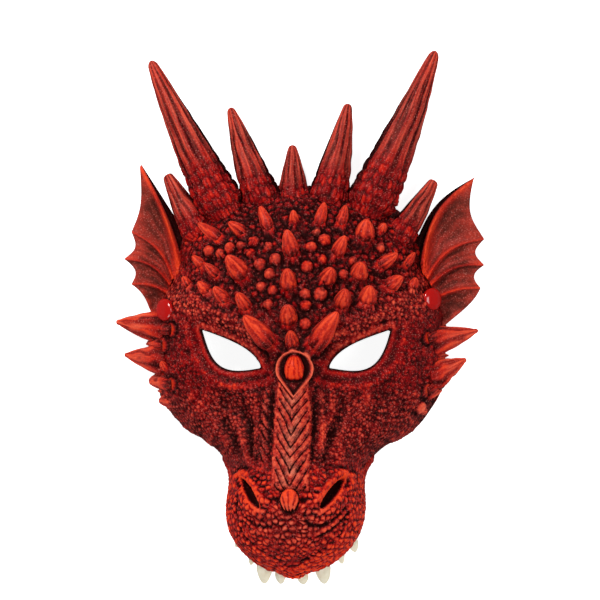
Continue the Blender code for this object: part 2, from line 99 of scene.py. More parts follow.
def blank_material(name: str) -> tuple[Material, NodeTree]:
    """Starts a material that has no nodes.

    Args:
        name: the material's name.

    Returns:
        The material and its node tree.
    """
    material = bpy.data.materials.new(name)
    material.use_nodes = True
    material.node_tree.nodes.clear()
    return material, material.node_tree


def add_node(tree: NodeTree, kind: str, settings: Table = None, links: Table = None) -> Node:
    """Adds a node with its settings and links.

    Args:
        tree: the material's node tree.
        kind: Blender's name of the node type.
        settings: values by property name, or by input name or number where that isn't a property.
        links: by input name or number, the socket that feeds it, or the node whose first output does.

    Returns:
        The new node.
    """
    node = tree.nodes.new(kind)
    for name, value in (settings or {}).items():
        if isinstance(name, str) and hasattr(node, name):
            setattr(node, name, value)
        else:
            node.inputs[name].default_value = value
    for name, source in (links or {}).items():
        socket = source.outputs[0] if isinstance(source, Node) else source
        tree.links.new(socket, node.inputs[name])
    return node


def hashed(i: np.ndarray, j: np.ndarray, seed: int) -> np.ndarray:
    """A repeatable value from 0 to 1 for each pair of whole numbers.

    Args:
        i: first whole number of each cell.
        j: second whole number of each cell.
        seed: whole number that picks one set of values.

    Returns:
        An array of values, the same on every run.
    """
    mixed = i.astype(np.int64) * 374761393 + j.astype(np.int64) * 668265263 + seed * 974634777
    mixed &= 0x7FFFFFFF
    mixed = ((mixed ^ (mixed >> 13)) * 1274126177) & 0x7FFFFFFF
    return ((mixed ^ (mixed >> 16)) & 0xFFFF) / 65535.0


def domes(scales: Sequence[Arrays]) -> Arrays:
    """Round scales that touch one another, from how far every place is from the scales next to it.

    Args:
        scales: for each neighbouring scale, the distance from its middle and its random share.

    Returns:
        Dome height from 0 at a scale's edge to 1 at its middle, and the nearest scale's share.
    """
    best = second = np.full(scales[0][0].shape, FAR)
    share = np.zeros(best.shape)
    for away, lot in scales:
        nearer = away < best
        second = np.where(nearer, best, np.minimum(second, away))
        share = np.where(nearer, lot, share)
        best = np.where(nearer, away, best)
    edge = 2.0 * best / (best + second + TINY)
    dimple = 0.35 * bell(edge, 0.3) * (share > 0.55)
    return np.clip(1.0 - edge**2.4, 0.0, 1.0) - dimple, share


def pebbles(a: np.ndarray, b: np.ndarray, size: float, jitter: float, seed: int) -> Arrays:
    """Packed round scales over a surface that is laid out flat.

    Args:
        a: place across the surface, in the unit of size.
        b: place along the surface, in the unit of size.
        size: distance between neighbouring scales.
        jitter: how far a scale strays from its row, as a share of size.
        seed: picks one arrangement.

    Returns:
        Dome height from 0 at a scale's edge to 1 at its middle, and a random share for each scale.
    """
    j0 = np.floor(b / size).astype(int)
    scales = []
    for dj, di in np.ndindex(3, 3):
        j = j0 + dj - 1
        shift = 0.5 * (j & 1)
        i = np.floor(a / size - shift).astype(int) + di - 1
        x = (i + shift + 0.5 + jitter * (hashed(i, j, seed) - 0.5)) * size
        y = (j + 0.5 + jitter * (hashed(i, j, seed + 7) - 0.5)) * size
        scales.append((np.hypot(a - x, b - y), hashed(i, j, seed + 13)))
    return domes(scales)


def cobbles(points: np.ndarray, size: float, jitter: float, seed: int) -> Arrays:
    """Packed round scales of even size over any surface, from its points in space.

    Args:
        points: places on the surface.
        size: distance between neighbouring scales, in the unit of the points.
        jitter: how far a scale strays from its cell, as a share of size.
        seed: picks one arrangement.

    Returns:
        Dome height from 0 at a scale's edge to 1 at its middle, and a random share for each scale.
    """
    place = points / size
    cell = np.floor(place).astype(int)
    scales = []
    for shift in np.ndindex(3, 3, 3):
        i, j, k = np.moveaxis(cell + np.array(shift) - 1, -1, 0)
        row = i + 8191 * k
        away = np.zeros(i.shape)
        for axis, whole in enumerate((i, j, k)):
            middle = whole + 0.5 + jitter * (hashed(row, j, seed + 7 * axis) - 0.5)
            away += (place[..., axis] - middle) ** 2
        scales.append((np.sqrt(away), hashed(row, j, seed + 31)))
    return domes(scales)


def waves(a: np.ndarray, b: np.ndarray, size: float, seed: int) -> np.ndarray:
    """Smooth random relief from -1 to 1.

    Args:
        a: place across, in the unit of size.
        b: place along, in the unit of size.
        size: distance between neighbouring random values.
        seed: picks one relief.

    Returns:
        The relief at each place.
    """
    i0, j0 = np.floor(a / size), np.floor(b / size)
    u, v = (t * t * (3 - 2 * t) for t in (a / size - i0, b / size - j0))
    low, high = (hashed(i0, j0 + dj, seed) * (1 - u) + hashed(i0 + 1, j0 + dj, seed) * u for dj in (0, 1))
    return 2.0 * (low * (1 - v) + high * v) - 1.0


def bell(value: np.ndarray, width: float) -> np.ndarray:
    """A bell curve, 1 where the value is 0 and about 0.37 where it equals the width."""
    return np.exp(-((value / width) ** 2))


def step(low: float, high: float, value: np.ndarray) -> np.ndarray:
    """A smooth step from 0 at low to 1 at high."""
    t = np.clip((value - low) / (high - low), 0.0, 1.0)
    return t * t * (3.0 - 2.0 * t)


def blurred(grid: np.ndarray, reach: int) -> np.ndarray:
    """A grid of values averaged over a square around each one.

    Args:
        grid: values by row and column.
        reach: half the square's side, in cells.

    Returns:
        The averaged grid.
    """
    span = 2 * reach + 1
    for axis in (0, 1):
        pads = [(reach + 1, reach) if k == axis else (0, 0) for k in (0, 1)]
        total = np.cumsum(np.pad(grid, pads, mode="edge"), axis=axis)
        high = np.take(total, range(span, total.shape[axis]), axis=axis)
        low = np.take(total, range(0, total.shape[axis] - span), axis=axis)
        grid = (high - low) / span
    return grid


def path_distance(x: np.ndarray, y: np.ndarray, path: Sequence[Sequence[float]]) -> np.ndarray:
    """Distance of each place from a line through some points.

    Args:
        x: places across.
        y: places down the face.
        path: the line's points in order.

    Returns:
        The distance from the nearest part of the line.
    """
    best = np.full(x.shape, FAR)
    for start, end in zip(path[:-1], path[1:]):
        dx, dy = end[0] - start[0], end[1] - start[1]
        t = np.clip(((x - start[0]) * dx + (y - start[1]) * dy) / (dx * dx + dy * dy), 0.0, 1.0)
        best = np.minimum(best, np.hypot(x - start[0] - t * dx, y - start[1] - t * dy))
    return best


def unit(vectors: np.ndarray) -> np.ndarray:
    """Vectors shortened or stretched to a length of one."""
    return vectors / np.maximum(np.linalg.norm(vectors, axis=-1, keepdims=True), TINY)


def grid_normals(points: np.ndarray) -> np.ndarray:
    """Unit normals of a grid of points, from its rows and columns."""
    return unit(np.cross(np.gradient(points, axis=0), np.gradient(points, axis=1)))


def round_angles(count: int) -> np.ndarray:
    """Evenly spaced angles round a circle."""
    return np.linspace(0.0, 2 * math.pi, count, endpoint=False)


@dataclass
class Sheet:
    """A grid of points with its paint values, which becomes one mesh object."""

    points: np.ndarray
    wear_and_shade: np.ndarray | float = 0.0
    tint: np.ndarray | float = 0.0
    wraps: bool = False
    caps: bool = False
    keep: np.ndarray | None = None
    normals: np.ndarray | None = None

    def build(self, name: str, finish: Material | None = None) -> Object:
        """Makes the object, smooth shaded, with the attributes wear_and_shade and tint on its points.

        Args:
            name: the object's name.
            finish: its material, or none for a cutter.

        Returns:
            The new object, in metres.
        """
        rows, columns = self.points.shape[:2]
        index = np.arange(rows * columns).reshape(rows, columns)
        beside = np.roll(index, -1, axis=1) if self.wraps else index[:, 1:]
        here = index if self.wraps else index[:, :-1]
        quads = np.stack([here[:-1], here[1:], beside[1:], beside[:-1]], axis=-1).reshape(-1, 4)
        if self.keep is not None:
            quads = quads[self.keep.reshape(-1)]
        used = np.unique(quads)
        place = np.full(rows * columns, -1)
        place[used] = np.arange(len(used))
        faces = [tuple(q) for q in place[quads].tolist()]
        if self.caps:
            faces += [tuple(place[index[0]][::-1].tolist()), tuple(place[index[-1]].tolist())]
        mesh = bpy.data.meshes.new(name)
        mesh.from_pydata((self.points.reshape(-1, 3)[used] * METRES).tolist(), [], faces)
        for label, values in (("wear_and_shade", self.wear_and_shade), ("tint", self.tint)):
            layer = mesh.attributes.new(label, "FLOAT", "POINT")
            flat = np.broadcast_to(values, (rows, columns)).reshape(-1)[used]
            layer.data.foreach_set("value", np.clip(flat, 0.0, 1.0).astype(np.float32))
        mesh.shade_smooth()
        obj = bpy.data.objects.new(name, mesh)
        bpy.context.collection.objects.link(obj)
        if self.normals is None:
            face_outwards(mesh)
        else:
            mesh.normals_split_custom_set_from_vertices(self.normals.reshape(-1, 3)[used].tolist())
        if finish:
            mesh.materials.append(finish)
        return obj


def face_outwards(mesh: Mesh) -> None:
    """Turns a mesh's faces so that they point out.

    Args:
        mesh: the mesh, changed in place.
    """
    work = bmesh.new()
    work.from_mesh(mesh)
    bmesh.ops.recalc_face_normals(work, faces=work.faces)
    work.to_mesh(mesh)
    work.free()


@dataclass(frozen=True)
class PaintedFoam:
    """Acrylic paint brushed over black integral-skin polyurethane foam.

    The foam takes the mould's carving crisply. The paint is crimson, with a black wash left in the
    recesses and orange-red dry-brushed over what stands proud, under a satin varnish. Fine pale pink
    flecks are painted glints, standing for the varnish's highlights on small bumps.
    """

    name: str = "painted_polyurethane_foam"
    # From the black wash over crimson to the orange-red of the dry brush, the dark end also serving as
    # painted shade and the light end as painted light.
    stops: tuple[tuple[float, str], ...] = (
        (0.12, "#1C0001"), (0.32, "#4C0306"), (0.53, "#86080C"), (0.74, "#BE2013"), (0.98, "#E8421E"),
    )
    salmon: str = "#DC8468"
    # Pale pink of the painted glints, which stand for the varnish's highlights.
    glint_colour: str = "#D88A7C"
    roughness: float = 0.60
    polish: float = 0.4
    # Each noise has its size in millimetres, its detail and its roughness.
    fleck: Triple = (1.6, 3.0, 0.6)
    cloud: Triple = (14.0, 2.0, 0.5)
    grain: Triple = (0.5, 2.0, 0.5)
    speck: Triple = (0.8, 1.0, 0.4)
    fleck_amount: float = 0.42
    cloud_amount: float = 0.30
    grain_depth_mm: float = 0.25
    sheen: tuple[float, ...] = (1.0, 0.5, 0.45, 1.0)

    def build(self) -> Material:
        """Makes the material from the wear_and_shade and tint values of the mesh.

        Returns:
            The material.
        """
        material, tree = blank_material(self.name)
        place = add_node(tree, "ShaderNodeTexCoord").outputs["Object"]
        wear_and_shade, tint = (
            add_node(tree, "ShaderNodeAttribute", {"attribute_name": label}).outputs["Fac"]
            for label in ("wear_and_shade", "tint")
        )
        fleck, cloud, grain, speck = (
            add_node(
                tree,
                "ShaderNodeTexNoise",
                {"Scale": 1.0 / (size * METRES), "Detail": detail, "Roughness": rough},
                {"Vector": place},
            )
            for size, detail, rough in (self.fleck, self.cloud, self.grain, self.speck)
        )
        brushed_and_shaded = wear_and_shade
        for noise, amount in ((fleck, self.fleck_amount), (cloud, self.cloud_amount)):
            settings = {"operation": "MULTIPLY_ADD", 1: amount, 2: -amount / 2}
            uneven = add_node(tree, "ShaderNodeMath", settings, {0: noise})
            brushed_and_shaded = add_node(tree, "ShaderNodeMath", {"operation": "ADD"}, {0: brushed_and_shaded, 1: uneven})
        ramp = add_node(tree, "ShaderNodeValToRGB", links={"Fac": brushed_and_shaded})
        while len(ramp.color_ramp.elements) < len(self.stops):
            ramp.color_ramp.elements.new(0.5)
        for element, (position, colour) in zip(ramp.color_ramp.elements, self.stops):
            element.position = position
            element.color = linear(colour)
        amount = add_node(tree, "ShaderNodeMath", {"operation": "MULTIPLY"}, {0: tint, 1: brushed_and_shaded})
        colours = {"data_type": "RGBA", 7: linear(self.salmon)}
        paint = add_node(tree, "ShaderNodeMix", colours, {0: amount, 6: ramp}).outputs[2]
        # Painted glints: pale pink flecks for the varnish's highlights on small bumps, most in the middle
        # tones and fewer in the darkest and brightest.
        span = {"From Min": 0.60, "From Max": 0.78, "To Min": 0.0, "To Max": 1.0}
        glint_amount = add_node(tree, "ShaderNodeMapRange", span, {"Value": speck})
        span = {"From Min": 0.45, "From Max": 0.85, "To Min": 1.0, "To Max": 0.12}
        glint_by_tone = add_node(tree, "ShaderNodeMapRange", span, {"Value": brushed_and_shaded})
        glint_by_tone = add_node(tree, "ShaderNodeMath", {"operation": "MULTIPLY"}, {0: glint_by_tone, 1: brushed_and_shaded})
        glint_amount = add_node(tree, "ShaderNodeMath", {"operation": "MULTIPLY"}, {0: glint_amount, 1: glint_by_tone})
        colours = {"data_type": "RGBA", 7: linear(self.glint_colour)}
        finish = add_node(tree, "ShaderNodeMix", colours, {0: glint_amount, 6: paint})
        settings = {"operation": "MULTIPLY_ADD", 1: -self.polish, 2: self.roughness}
        gloss = add_node(tree, "ShaderNodeMath", settings, {0: brushed_and_shaded})
        settings = {"Strength": 0.35, "Distance": self.grain_depth_mm * METRES}
        bump = add_node(tree, "ShaderNodeBump", settings, {"Height": grain})
        shader = add_node(
            tree,
            "ShaderNodeBsdfPrincipled",
            {"Metallic": 0.0, "IOR": 1.45, "Specular IOR Level": 0.1, "Specular Tint": self.sheen},
            {"Base Color": finish.outputs[2], "Roughness": gloss, "Normal": bump},
        )
        add_node(tree, "ShaderNodeOutputMaterial", links={"Surface": shader})
        return material


@dataclass(frozen=True)
class SpeckledSurface:
    """A plain moulded material whose colour and gloss vary a little.

    One colour drifts to a second through soft noise, and a fine bump breaks the highlights.
    """

    name: str
    colour: str
    second: str
    roughness: float
    patch_mm: float
    bump_mm: float
    bump_strength: float
    coat: float = 0.0
    coat_roughness: float = 0.08
    drift: float = 0.16
    bump_depth_mm: float = 0.2

    def build(self) -> Material:
        """Makes the material.

        Returns:
            The material.
        """
        material, tree = blank_material(self.name)
        place = add_node(tree, "ShaderNodeTexCoord").outputs["Object"]
        patch, grain = (
            add_node(tree, "ShaderNodeTexNoise", {"Scale": scale, "Detail": detail}, {"Vector": place})
            for scale, detail in ((1.0 / (self.patch_mm * METRES), 3.0), (1.0 / (self.bump_mm * METRES), 2.0))
        )
        colours = {"data_type": "RGBA", 6: linear(self.colour), 7: linear(self.second)}
        mix = add_node(tree, "ShaderNodeMix", colours, {0: patch})
        settings = {"operation": "MULTIPLY_ADD", 1: self.drift, 2: self.roughness - self.drift / 2}
        gloss = add_node(tree, "ShaderNodeMath", settings, {0: patch})
        settings = {"Strength": self.bump_strength, "Distance": self.bump_depth_mm * METRES}
        bump = add_node(tree, "ShaderNodeBump", settings, {"Height": grain})
        shader = add_node(
            tree,
            "ShaderNodeBsdfPrincipled",
            {"Metallic": 0.0, "IOR": 1.5, "Coat Weight": self.coat, "Coat Roughness": self.coat_roughness},
            {"Base Color": mix.outputs[2], "Roughness": gloss, "Normal": bump},
        )
        add_node(tree, "ShaderNodeOutputMaterial", links={"Surface": shader})
        return material


# Bare integral-skin foam is near black with a dull sheen.
BARE_FOAM = SpeckledSurface("bare_polyurethane_foam", "#0B0A0A", "#1A1716", 0.62, 6.0, 1.1, 0.5)
# Ivory acrylic on foam has a yellower tone where it pools.
TOOTH_PAINT = SpeckledSurface("ivory_painted_foam", "#FBF5E2", "#EADDB9", 0.32, 3.0, 0.7, 0.2, 0.3)
# Injection-moulded polypropylene comes glossy and evenly coloured from its mould.
RIVET_PLASTIC = SpeckledSurface("moulded_polypropylene", "#B80F0B", "#AB0C09", 0.16, 9.0, 1.5, 0.05, 0.5)
# Matt white board keeps the light soft.
STUDIO_BOARD = SpeckledSurface("matt_white_board", "#FAFAFA", "#F6F6F6", 0.9, 80.0, 3.0, 0.02)


@dataclass
class FaceForm:
    """The smooth form that all the carving sits on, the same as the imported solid's."""

    # Place down the face, half width, height of the dome, of its ridge and of the rim.
    stations: tuple[tuple[float, ...], ...] = (
        (24.6, 8.5, 4.6, 0.0, 0.0), (24.0, 10.5, 5.8, 0.0, 0.0), (19.9, 18.5, 10.6, 0.0, 0.0),
        (15.2, 22.4, 13.6, 0.2, 0.0), (8.7, 23.6, 15.8, 0.6, 0.0), (0.8, 27.3, 16.8, 0.9, 0.0),
        (-4.4, 27.5, 16.6, 1.6, 0.0), (-10.0, 27.2, 15.6, 3.6, 0.0), (-13.9, 26.7, 14.8, 5.0, 0.0),
        (-17.5, 24.7, 14.6, 6.2, 0.0), (-21.7, 21.1, 15.8, 7.0, 1.0), (-24.7, 16.0, 18.6, 6.0, 3.8),
        (-27.1, 13.6, 21.0, 4.6, 6.4), (-31.0, 12.4, 24.0, 2.6, 9.2), (-35.1, 12.9, 26.0, 1.4, 11.4),
        (-39.8, 12.2, 25.8, 0.4, 13.4), (-42.8, 10.4, 24.4, 0.0, 14.6), (-45.1, 7.8, 22.4, 0.0, 15.4),
        (-47.1, 4.6, 20.4, 0.0, 16.0), (-48.8, 1.2, 18.6, 0.0, 16.4),
    )
    arch_power: float = 0.45
    ridge_half: float = 5.4
    wall: float = 6.0
    hollow_end: float = -45.6
    nostril: Pair = (27.7, -118.8)
    nostril_turn: float = math.radians(35.0)
    # Start, end, height and half width.
    soft_ridges: tuple[tuple[Pair, Pair, float, float], ...] = (
        ((5.5, -4.6), (19.5, 3.2), 1.5, 2.2),
        ((8.0, -9.0), (16.5, -4.6), -1.7, 3.4),
        ((7.5, -14.6), (22.0, -9.4), 0.9, 1.7),
        ((22.5, -14.5), (14.0, -23.0), 0.8, 2.0),
        ((8.2, -29.6), (7.4, -33.0), 2.0, 3.6),
    )
    eye_inner: Pair = (6.4, -9.7)
    eye_outer: Pair = (17.8, -2.5)
    # Bulge from the line between the corners, and how it leans inwards.
    upper_lid: Pair = (1.5, 0.66)
    lower_lid: Pair = (3.9, 1.0)

    def __post_init__(self) -> None:
        """Turns the stations into millimetres with the slopes of a smooth curve through them."""
        table = np.array(self.stations)[::-1] * HUNDREDTH
        self.places, self.values = table[:, 0], table[:, 1:]
        self.slopes = np.stack([np.gradient(v, self.places) for v in self.values.T], axis=1)

    def station(self, y: np.ndarray) -> list[np.ndarray]:
        """The face's measures at places down it.

        Args:
            y: places down the face.

        Returns:
            Half width, dome, ridge and rim height, all in millimetres.
        """
        y = np.clip(y, self.places[0], self.places[-1])
        k = np.clip(np.searchsorted(self.places, y) - 1, 0, len(self.places) - 2)
        gap = self.places[k + 1] - self.places[k]
        t = (y - self.places[k]) / gap
        low, high = (1 + 2 * t) * (1 - t) ** 2, t**2 * (3 - 2 * t)
        rise, fall = t * (1 - t) ** 2 * gap, t**2 * (t - 1) * gap
        curves = zip(self.values.T, self.slopes.T)
        return [low * v[k] + rise * m[k] + high * v[k + 1] + fall * m[k + 1] for v, m in curves]

    def relief(self, x: np.ndarray, y: np.ndarray) -> np.ndarray:
        """The soft ridges and sockets, mirrored about the middle.

        Args:
            x: places across.
            y: places down the face.

        Returns:
            Heights above the plain skin.
        """
        total = np.zeros(np.broadcast(x, y).shape)
        for start, end, height, half in self.soft_ridges:
            away = path_distance(np.abs(x), y, np.array([start, end]) * HUNDREDTH)
            total = total + height * HUNDREDTH * bell(away, half * HUNDREDTH)
        return total

    def skin(self, x: np.ndarray, y: np.ndarray, carved: bool = True) -> np.ndarray:
        """Height of the outer surface at places on the face.

        Args:
            x: places across.
            y: places down the face.
            carved: whether the soft relief is on it.

        Returns:
            Heights in millimetres.
        """
        x, y = np.asarray(x, float), np.asarray(y, float)
        half, dome, ridge, rim = self.station(y)
        across = np.clip(np.abs(x) / half, 0.0, 1.0)
        arch = (1.0 - across**2) ** self.arch_power
        z = rim + (dome - rim) * arch + ridge * bell(x, self.ridge_half * HUNDREDTH) * arch
        return z + self.relief(x, y) * arch if carved else z

    def outwards(self, x: np.ndarray, y: np.ndarray) -> np.ndarray:
        """Directions square to the uncarved skin.

        Args:
            x: places across.
            y: places down the face.

        Returns:
            A vector for each place, one long.
        """
        east = self.skin(x + 1.0, y, carved=False) - self.skin(x - 1.0, y, carved=False)
        north = self.skin(x, y + 1.0, carved=False) - self.skin(x, y - 1.0, carved=False)
        return unit(np.stack([-east / 2, -north / 2, np.ones_like(east)], axis=-1))

    def lid(self, t: np.ndarray, upper: bool) -> np.ndarray:
        """How far a lid bulges from the line between the eye's corners, at shares of that line."""
        bulge, lean = self.upper_lid if upper else self.lower_lid
        return bulge * HUNDREDTH * np.sin(math.pi * np.clip(t, 0.0, 1.0) ** lean)

    def eye_axes(self) -> tuple[np.ndarray, np.ndarray, np.ndarray, float]:
        """The frame that an eye hole is measured in.

        Returns:
            Inner corner, unit vectors along and across the eye, and its length.
        """
        inner = np.array(self.eye_inner) * HUNDREDTH
        chord = np.array(self.eye_outer) * HUNDREDTH - inner
        length = float(np.hypot(*chord))
        along = chord / length
        return inner, along, np.array([-along[1], along[0]]), length

    def eye_outline(self, count: int) -> np.ndarray:
        """Points round the eye hole on the right.

        Args:
            count: number of points along each lid.

        Returns:
            Places from the inner corner over the upper lid and back under the eye.
        """
        inner, along, up, length = self.eye_axes()
        t = np.linspace(0.0, 1.0, count, endpoint=False)
        over = inner + np.outer(t * length, along) + np.outer(self.lid(t, True), up)
        t = 1.0 - t
        under = inner + np.outer(t * length, along) - np.outer(self.lid(t, False), up)
        return np.concatenate([over, under])


def boss(reach: np.ndarray, turn: np.ndarray, flutes: float, depth: np.ndarray, power: float) -> np.ndarray:
    """A rounded boss with a fluted edge.

    Args:
        reach: distance from its middle, with 1 at its edge.
        turn: angle round it.
        flutes: number of flutes in a full turn.
        depth: how deep they are.
        power: power of its profile, less for a blunter one.

    Returns:
        Its height, with 1 at the middle.
    """
    fluted = 1.0 + depth * (0.5 + 0.5 * np.cos(turn * flutes))
    return np.clip(1.0 - (reach * fluted) ** 2, 0.0, 1.0) ** power


@dataclass
class CarvedFace:
    """The painted skin of the face, with everything that is carved in it."""

    form: FaceForm
    columns: int = 396
    rows_above: int = 232
    rows_below: int = 236
    split_y: float = -50.0
    end_rows: int = 10
    crowding: float = 0.2
    fold: float = 2.6
    eye_edge: float = 3.4
    thorn_rise: float = 1.0
    thorn_spread: float = 1.13
    # Thorns: root, width and length, and the way each one points in degrees.
    places: tuple[tuple[float, float, float, float, float], ...] = (
        (-14.2, 14.4, 2.1, 5.6, 146), (-9.6, 15.3, 2.2, 3.9, 142), (-4.8, 15.8, 2.1, 5.3, 113),
        (-0.3, 17.3, 1.7, 2.6, 94), (4.2, 16.8, 2.1, 4.7, 76), (8.3, 16.8, 1.9, 4.2, 77),
        (12.7, 14.3, 3.3, 3.9, 80), (15.7, 15.9, 1.6, 1.8, 60), (-0.4, 11.0, 2.8, 5.3, 101),
        (7.6, 11.3, 2.4, 4.2, 63), (-9.5, 7.2, 3.3, 5.2, 127), (-14.4, 7.2, 1.9, 3.8, 135),
        (-17.4, 9.2, 1.7, 3.2, 137), (-0.9, 5.0, 2.8, 3.9, 93), (5.9, 6.5, 2.8, 2.8, 61),
        (11.8, 7.2, 3.0, 3.0, 75), (15.4, 9.2, 2.2, 4.5, 35), (17.1, 5.3, 2.6, 3.6, 37),
        (21.6, 5.1, 1.7, 2.3, 71), (20.1, 9.2, 1.5, 3.4, 55), (-20.2, 5.3, 1.7, 2.6, 123),
        (-0.9, -1.1, 3.0, 3.2, 90), (8.6, 1.7, 2.8, 3.6, 69), (13.5, 2.5, 3.0, 3.3, 76),
        (-16.3, 4.2, 1.9, 3.1, 132), (-12.8, 2.5, 2.4, 3.8, 128), (-8.8, 1.2, 2.4, 3.6, 119),
        (-4.2, -5.4, 3.5, 7.4, 132), (3.7, -5.9, 3.5, 8.2, 55), (-0.2, -5.4, 2.2, 2.7, 95),
        (-25.2, -5.4, 2.2, 3.8, 175), (-23.6, -12.9, 2.2, 3.4, 180), (-25.0, -10.2, 1.5, 1.9, 120),
        (-23.6, -2.6, 2.2, 4.0, 172), (24.3, -4.3, 1.9, 3.8, 30), (24.1, -14.3, 2.2, 4.0, 40),
    )
    # Round warts between the thorns: place and radius.
    warts: tuple[Triple, ...] = (
        (-7.7, 13.9, 1.0), (-5.0, 13.0, 0.8), (-3.6, 10.6, 1.1), (-6.5, 9.6, 1.1), (-4.6, 7.8, 1.0),
        (-6.2, 5.5, 0.9), (-4.0, 4.8, 0.9), (-4.8, 2.2, 0.9), (3.1, 12.9, 1.0), (5.5, 14.2, 1.1),
        (4.0, 15.6, 0.8), (5.2, 10.5, 0.9), (2.4, 9.2, 1.1), (2.1, 4.1, 1.0), (4.9, 4.1, 1.2),
        (2.2, 2.0, 1.0), (2.1, -1.4, 1.0), (-12.3, 12.8, 1.0), (-10.3, 13.2, 0.8), (-8.3, 11.7, 0.9),
        (-14.3, 11.8, 0.8), (-16.5, 12.2, 1.0), (15.8, 12.8, 0.8), (10.8, 10.3, 0.8), (9.2, 7.8, 0.9),
        (23.0, -17.2, 1.1),
    )
    plate_top: float = -49.0
    plate_end: float = -116.0
    plate_half: float = 12.8
    ring_centre: Pair = (0.7, -35.5)
    ring_radius: float = 11.6
    ring_point: float = 19.0
    ring_width: float = 0.66
    ring_height: float = 1.9
    dome_height: float = 5.2
    dome_flutes: float = 38.0
    knob: Pair = (0.0, -122.6)
    knob_half: Pair = (6.3, 7.6)
    knob_height: float = 6.6
    knob_flutes: float = 26.0
    side_ridge: float = 19.0
    mid_nose: float = -80.0
    nostril_half: Pair = (3.3, 11.8)
    nostril_depth: float = 4.7
    nostril_rim: float = 2.4
    # Size of each kind of scale: on the brow and cheeks, coarse ones under them, and on the muzzle.
    scale_mm: Triple = (2.5, 4.6, 3.9)
    ground: float = 0.42
    # How much lighter the paint is on each carved form, or darker where the number is negative; the near
    # black in the nostril slits is painted shade.
    shades: dict[str, float] = field(
        default_factory=lambda: {
            "brow_band": 0.08, "under_eye": 0.01, "under_lid": 0.02, "muzzle": 0.13, "cheek": -0.02,
            "crease": 0.08, "ring": 0.12, "in_ring": 0.1, "rim": -0.14, "fold": -0.16, "in_nostril": -1.2,
            "side_glow": 0.14, "by_lip": -0.18,
        }
    )

    def grid(self) -> None:
        """Lays out the rows and columns of the skin and its arc lengths."""
        form = self.form
        top, low = form.places[-1], form.places[0]
        above = self.spread_rows(top, self.split_y, self.rows_above)
        below = self.spread_rows(self.split_y, low, self.rows_below)[1:]
        y_rows = np.concatenate([above, below])
        share = np.linspace(-1.0, 1.0, self.columns + 1)
        angles = math.pi / 2 * share * (1.0 - self.crowding + self.crowding * share**2)
        half, _, _, rim = form.station(y_rows)
        x = half[:, None] * np.sin(angles)[None, :]
        y = np.repeat(y_rows[:, None], self.columns + 1, axis=1)
        points = np.stack([x, y, form.skin(x, y)], axis=2)
        lowered = range(1, self.end_rows + 1)
        head = [self.end_row(points[0], rim[0], k / self.end_rows) for k in reversed(lowered)]
        tail = [self.end_row(points[-1], rim[-1], k / self.end_rows) for k in lowered]
        self.points = np.concatenate([np.array(head), points, np.array(tail)])
        steps = np.linalg.norm(np.diff(self.points, axis=1), axis=2)
        arc = np.concatenate([np.zeros((len(self.points), 1)), np.cumsum(steps, axis=1)], axis=1)
        self.from_rim = np.minimum(arc, arc[:, -1:] - arc)
        self.x, self.y = self.points[:, :, 0], self.points[:, :, 1]
        self.normals = grid_normals(self.points)
        self.masks: dict[str, np.ndarray] = {}

    def spread_rows(self, start: float, end: float, count: int) -> np.ndarray:
        """Places down the face that lie evenly along its crest.

        Args:
            start: the first place.
            end: the last place.
            count: number of steps between them.

        Returns:
            The places.
        """
        fine = np.linspace(start, end, 2000)
        crest = self.form.skin(np.zeros_like(fine), fine, carved=False)
        side = self.form.skin(0.6 * self.form.station(fine)[0], fine, carved=False)
        length = np.hypot(np.diff(fine), 0.5 * (np.diff(crest) + np.diff(side)))
        total = np.concatenate([[0.0], np.cumsum(length)])
        return np.interp(np.linspace(0.0, total[-1], count + 1), total, fine)

    @staticmethod
    def end_row(row: np.ndarray, rim: float, share: float) -> np.ndarray:
        """A copy of an end row, lowered towards the rim.

        Args:
            row: the row's points.
            rim: height of the rim there.
            share: how far it is lowered, with 1 for all the way.

        Returns:
            The lowered row.
        """
        lowered = row.copy()
        lowered[:, 2] = rim + (row[:, 2] - rim) * (1.0 - share)
        return lowered

    def feet(self) -> list[tuple[np.ndarray, np.ndarray, float]]:
        """Places and sizes of the thorns on the brow.

        Returns:
            Foot on the skin, tip and width of every thorn, in millimetres.
        """
        form, found = self.form, []
        for x, y, width, length, turn in self.places:
            fan = np.array([math.cos(math.radians(turn)), math.sin(math.radians(turn))])
            foot = (np.array([x, y]) + fan * length * 0.04) * HUNDREDTH
            tip = (np.array([x, y]) + fan * length) * HUNDREDTH
            base = np.array([*foot, float(form.skin(*foot))])
            point = np.array([*tip, float(form.skin(*tip)) + width * self.thorn_rise * HUNDREDTH])
            found.append((base, point, width * self.thorn_spread * HUNDREDTH))
        return found

    def raise_thorns(self) -> None:
        """Pulls the skin up round the foot of every thorn, and pulls every wart out of it."""
        self.lift = np.zeros_like(self.points)
        self.proud, self.streak, self.on_wart, self.pressed = np.zeros((4, *self.x.shape))
        for number, (base, point, width) in enumerate(self.feet()):
            self.pull(base, (point - base) * 0.3, width * 0.62, 9 + number % 3, 1.1, False)
        for number, (x, y, radius) in enumerate(np.array(self.warts) * HUNDREDTH):
            base = np.array([x, y, float(self.form.skin(x, y))])
            lean = self.form.outwards(x, y) + (0.1 * math.sin(number), 0.15, 0.0)
            self.pull(base, lean * radius, radius * 1.2, 5 + number % 3, 0.7, True)

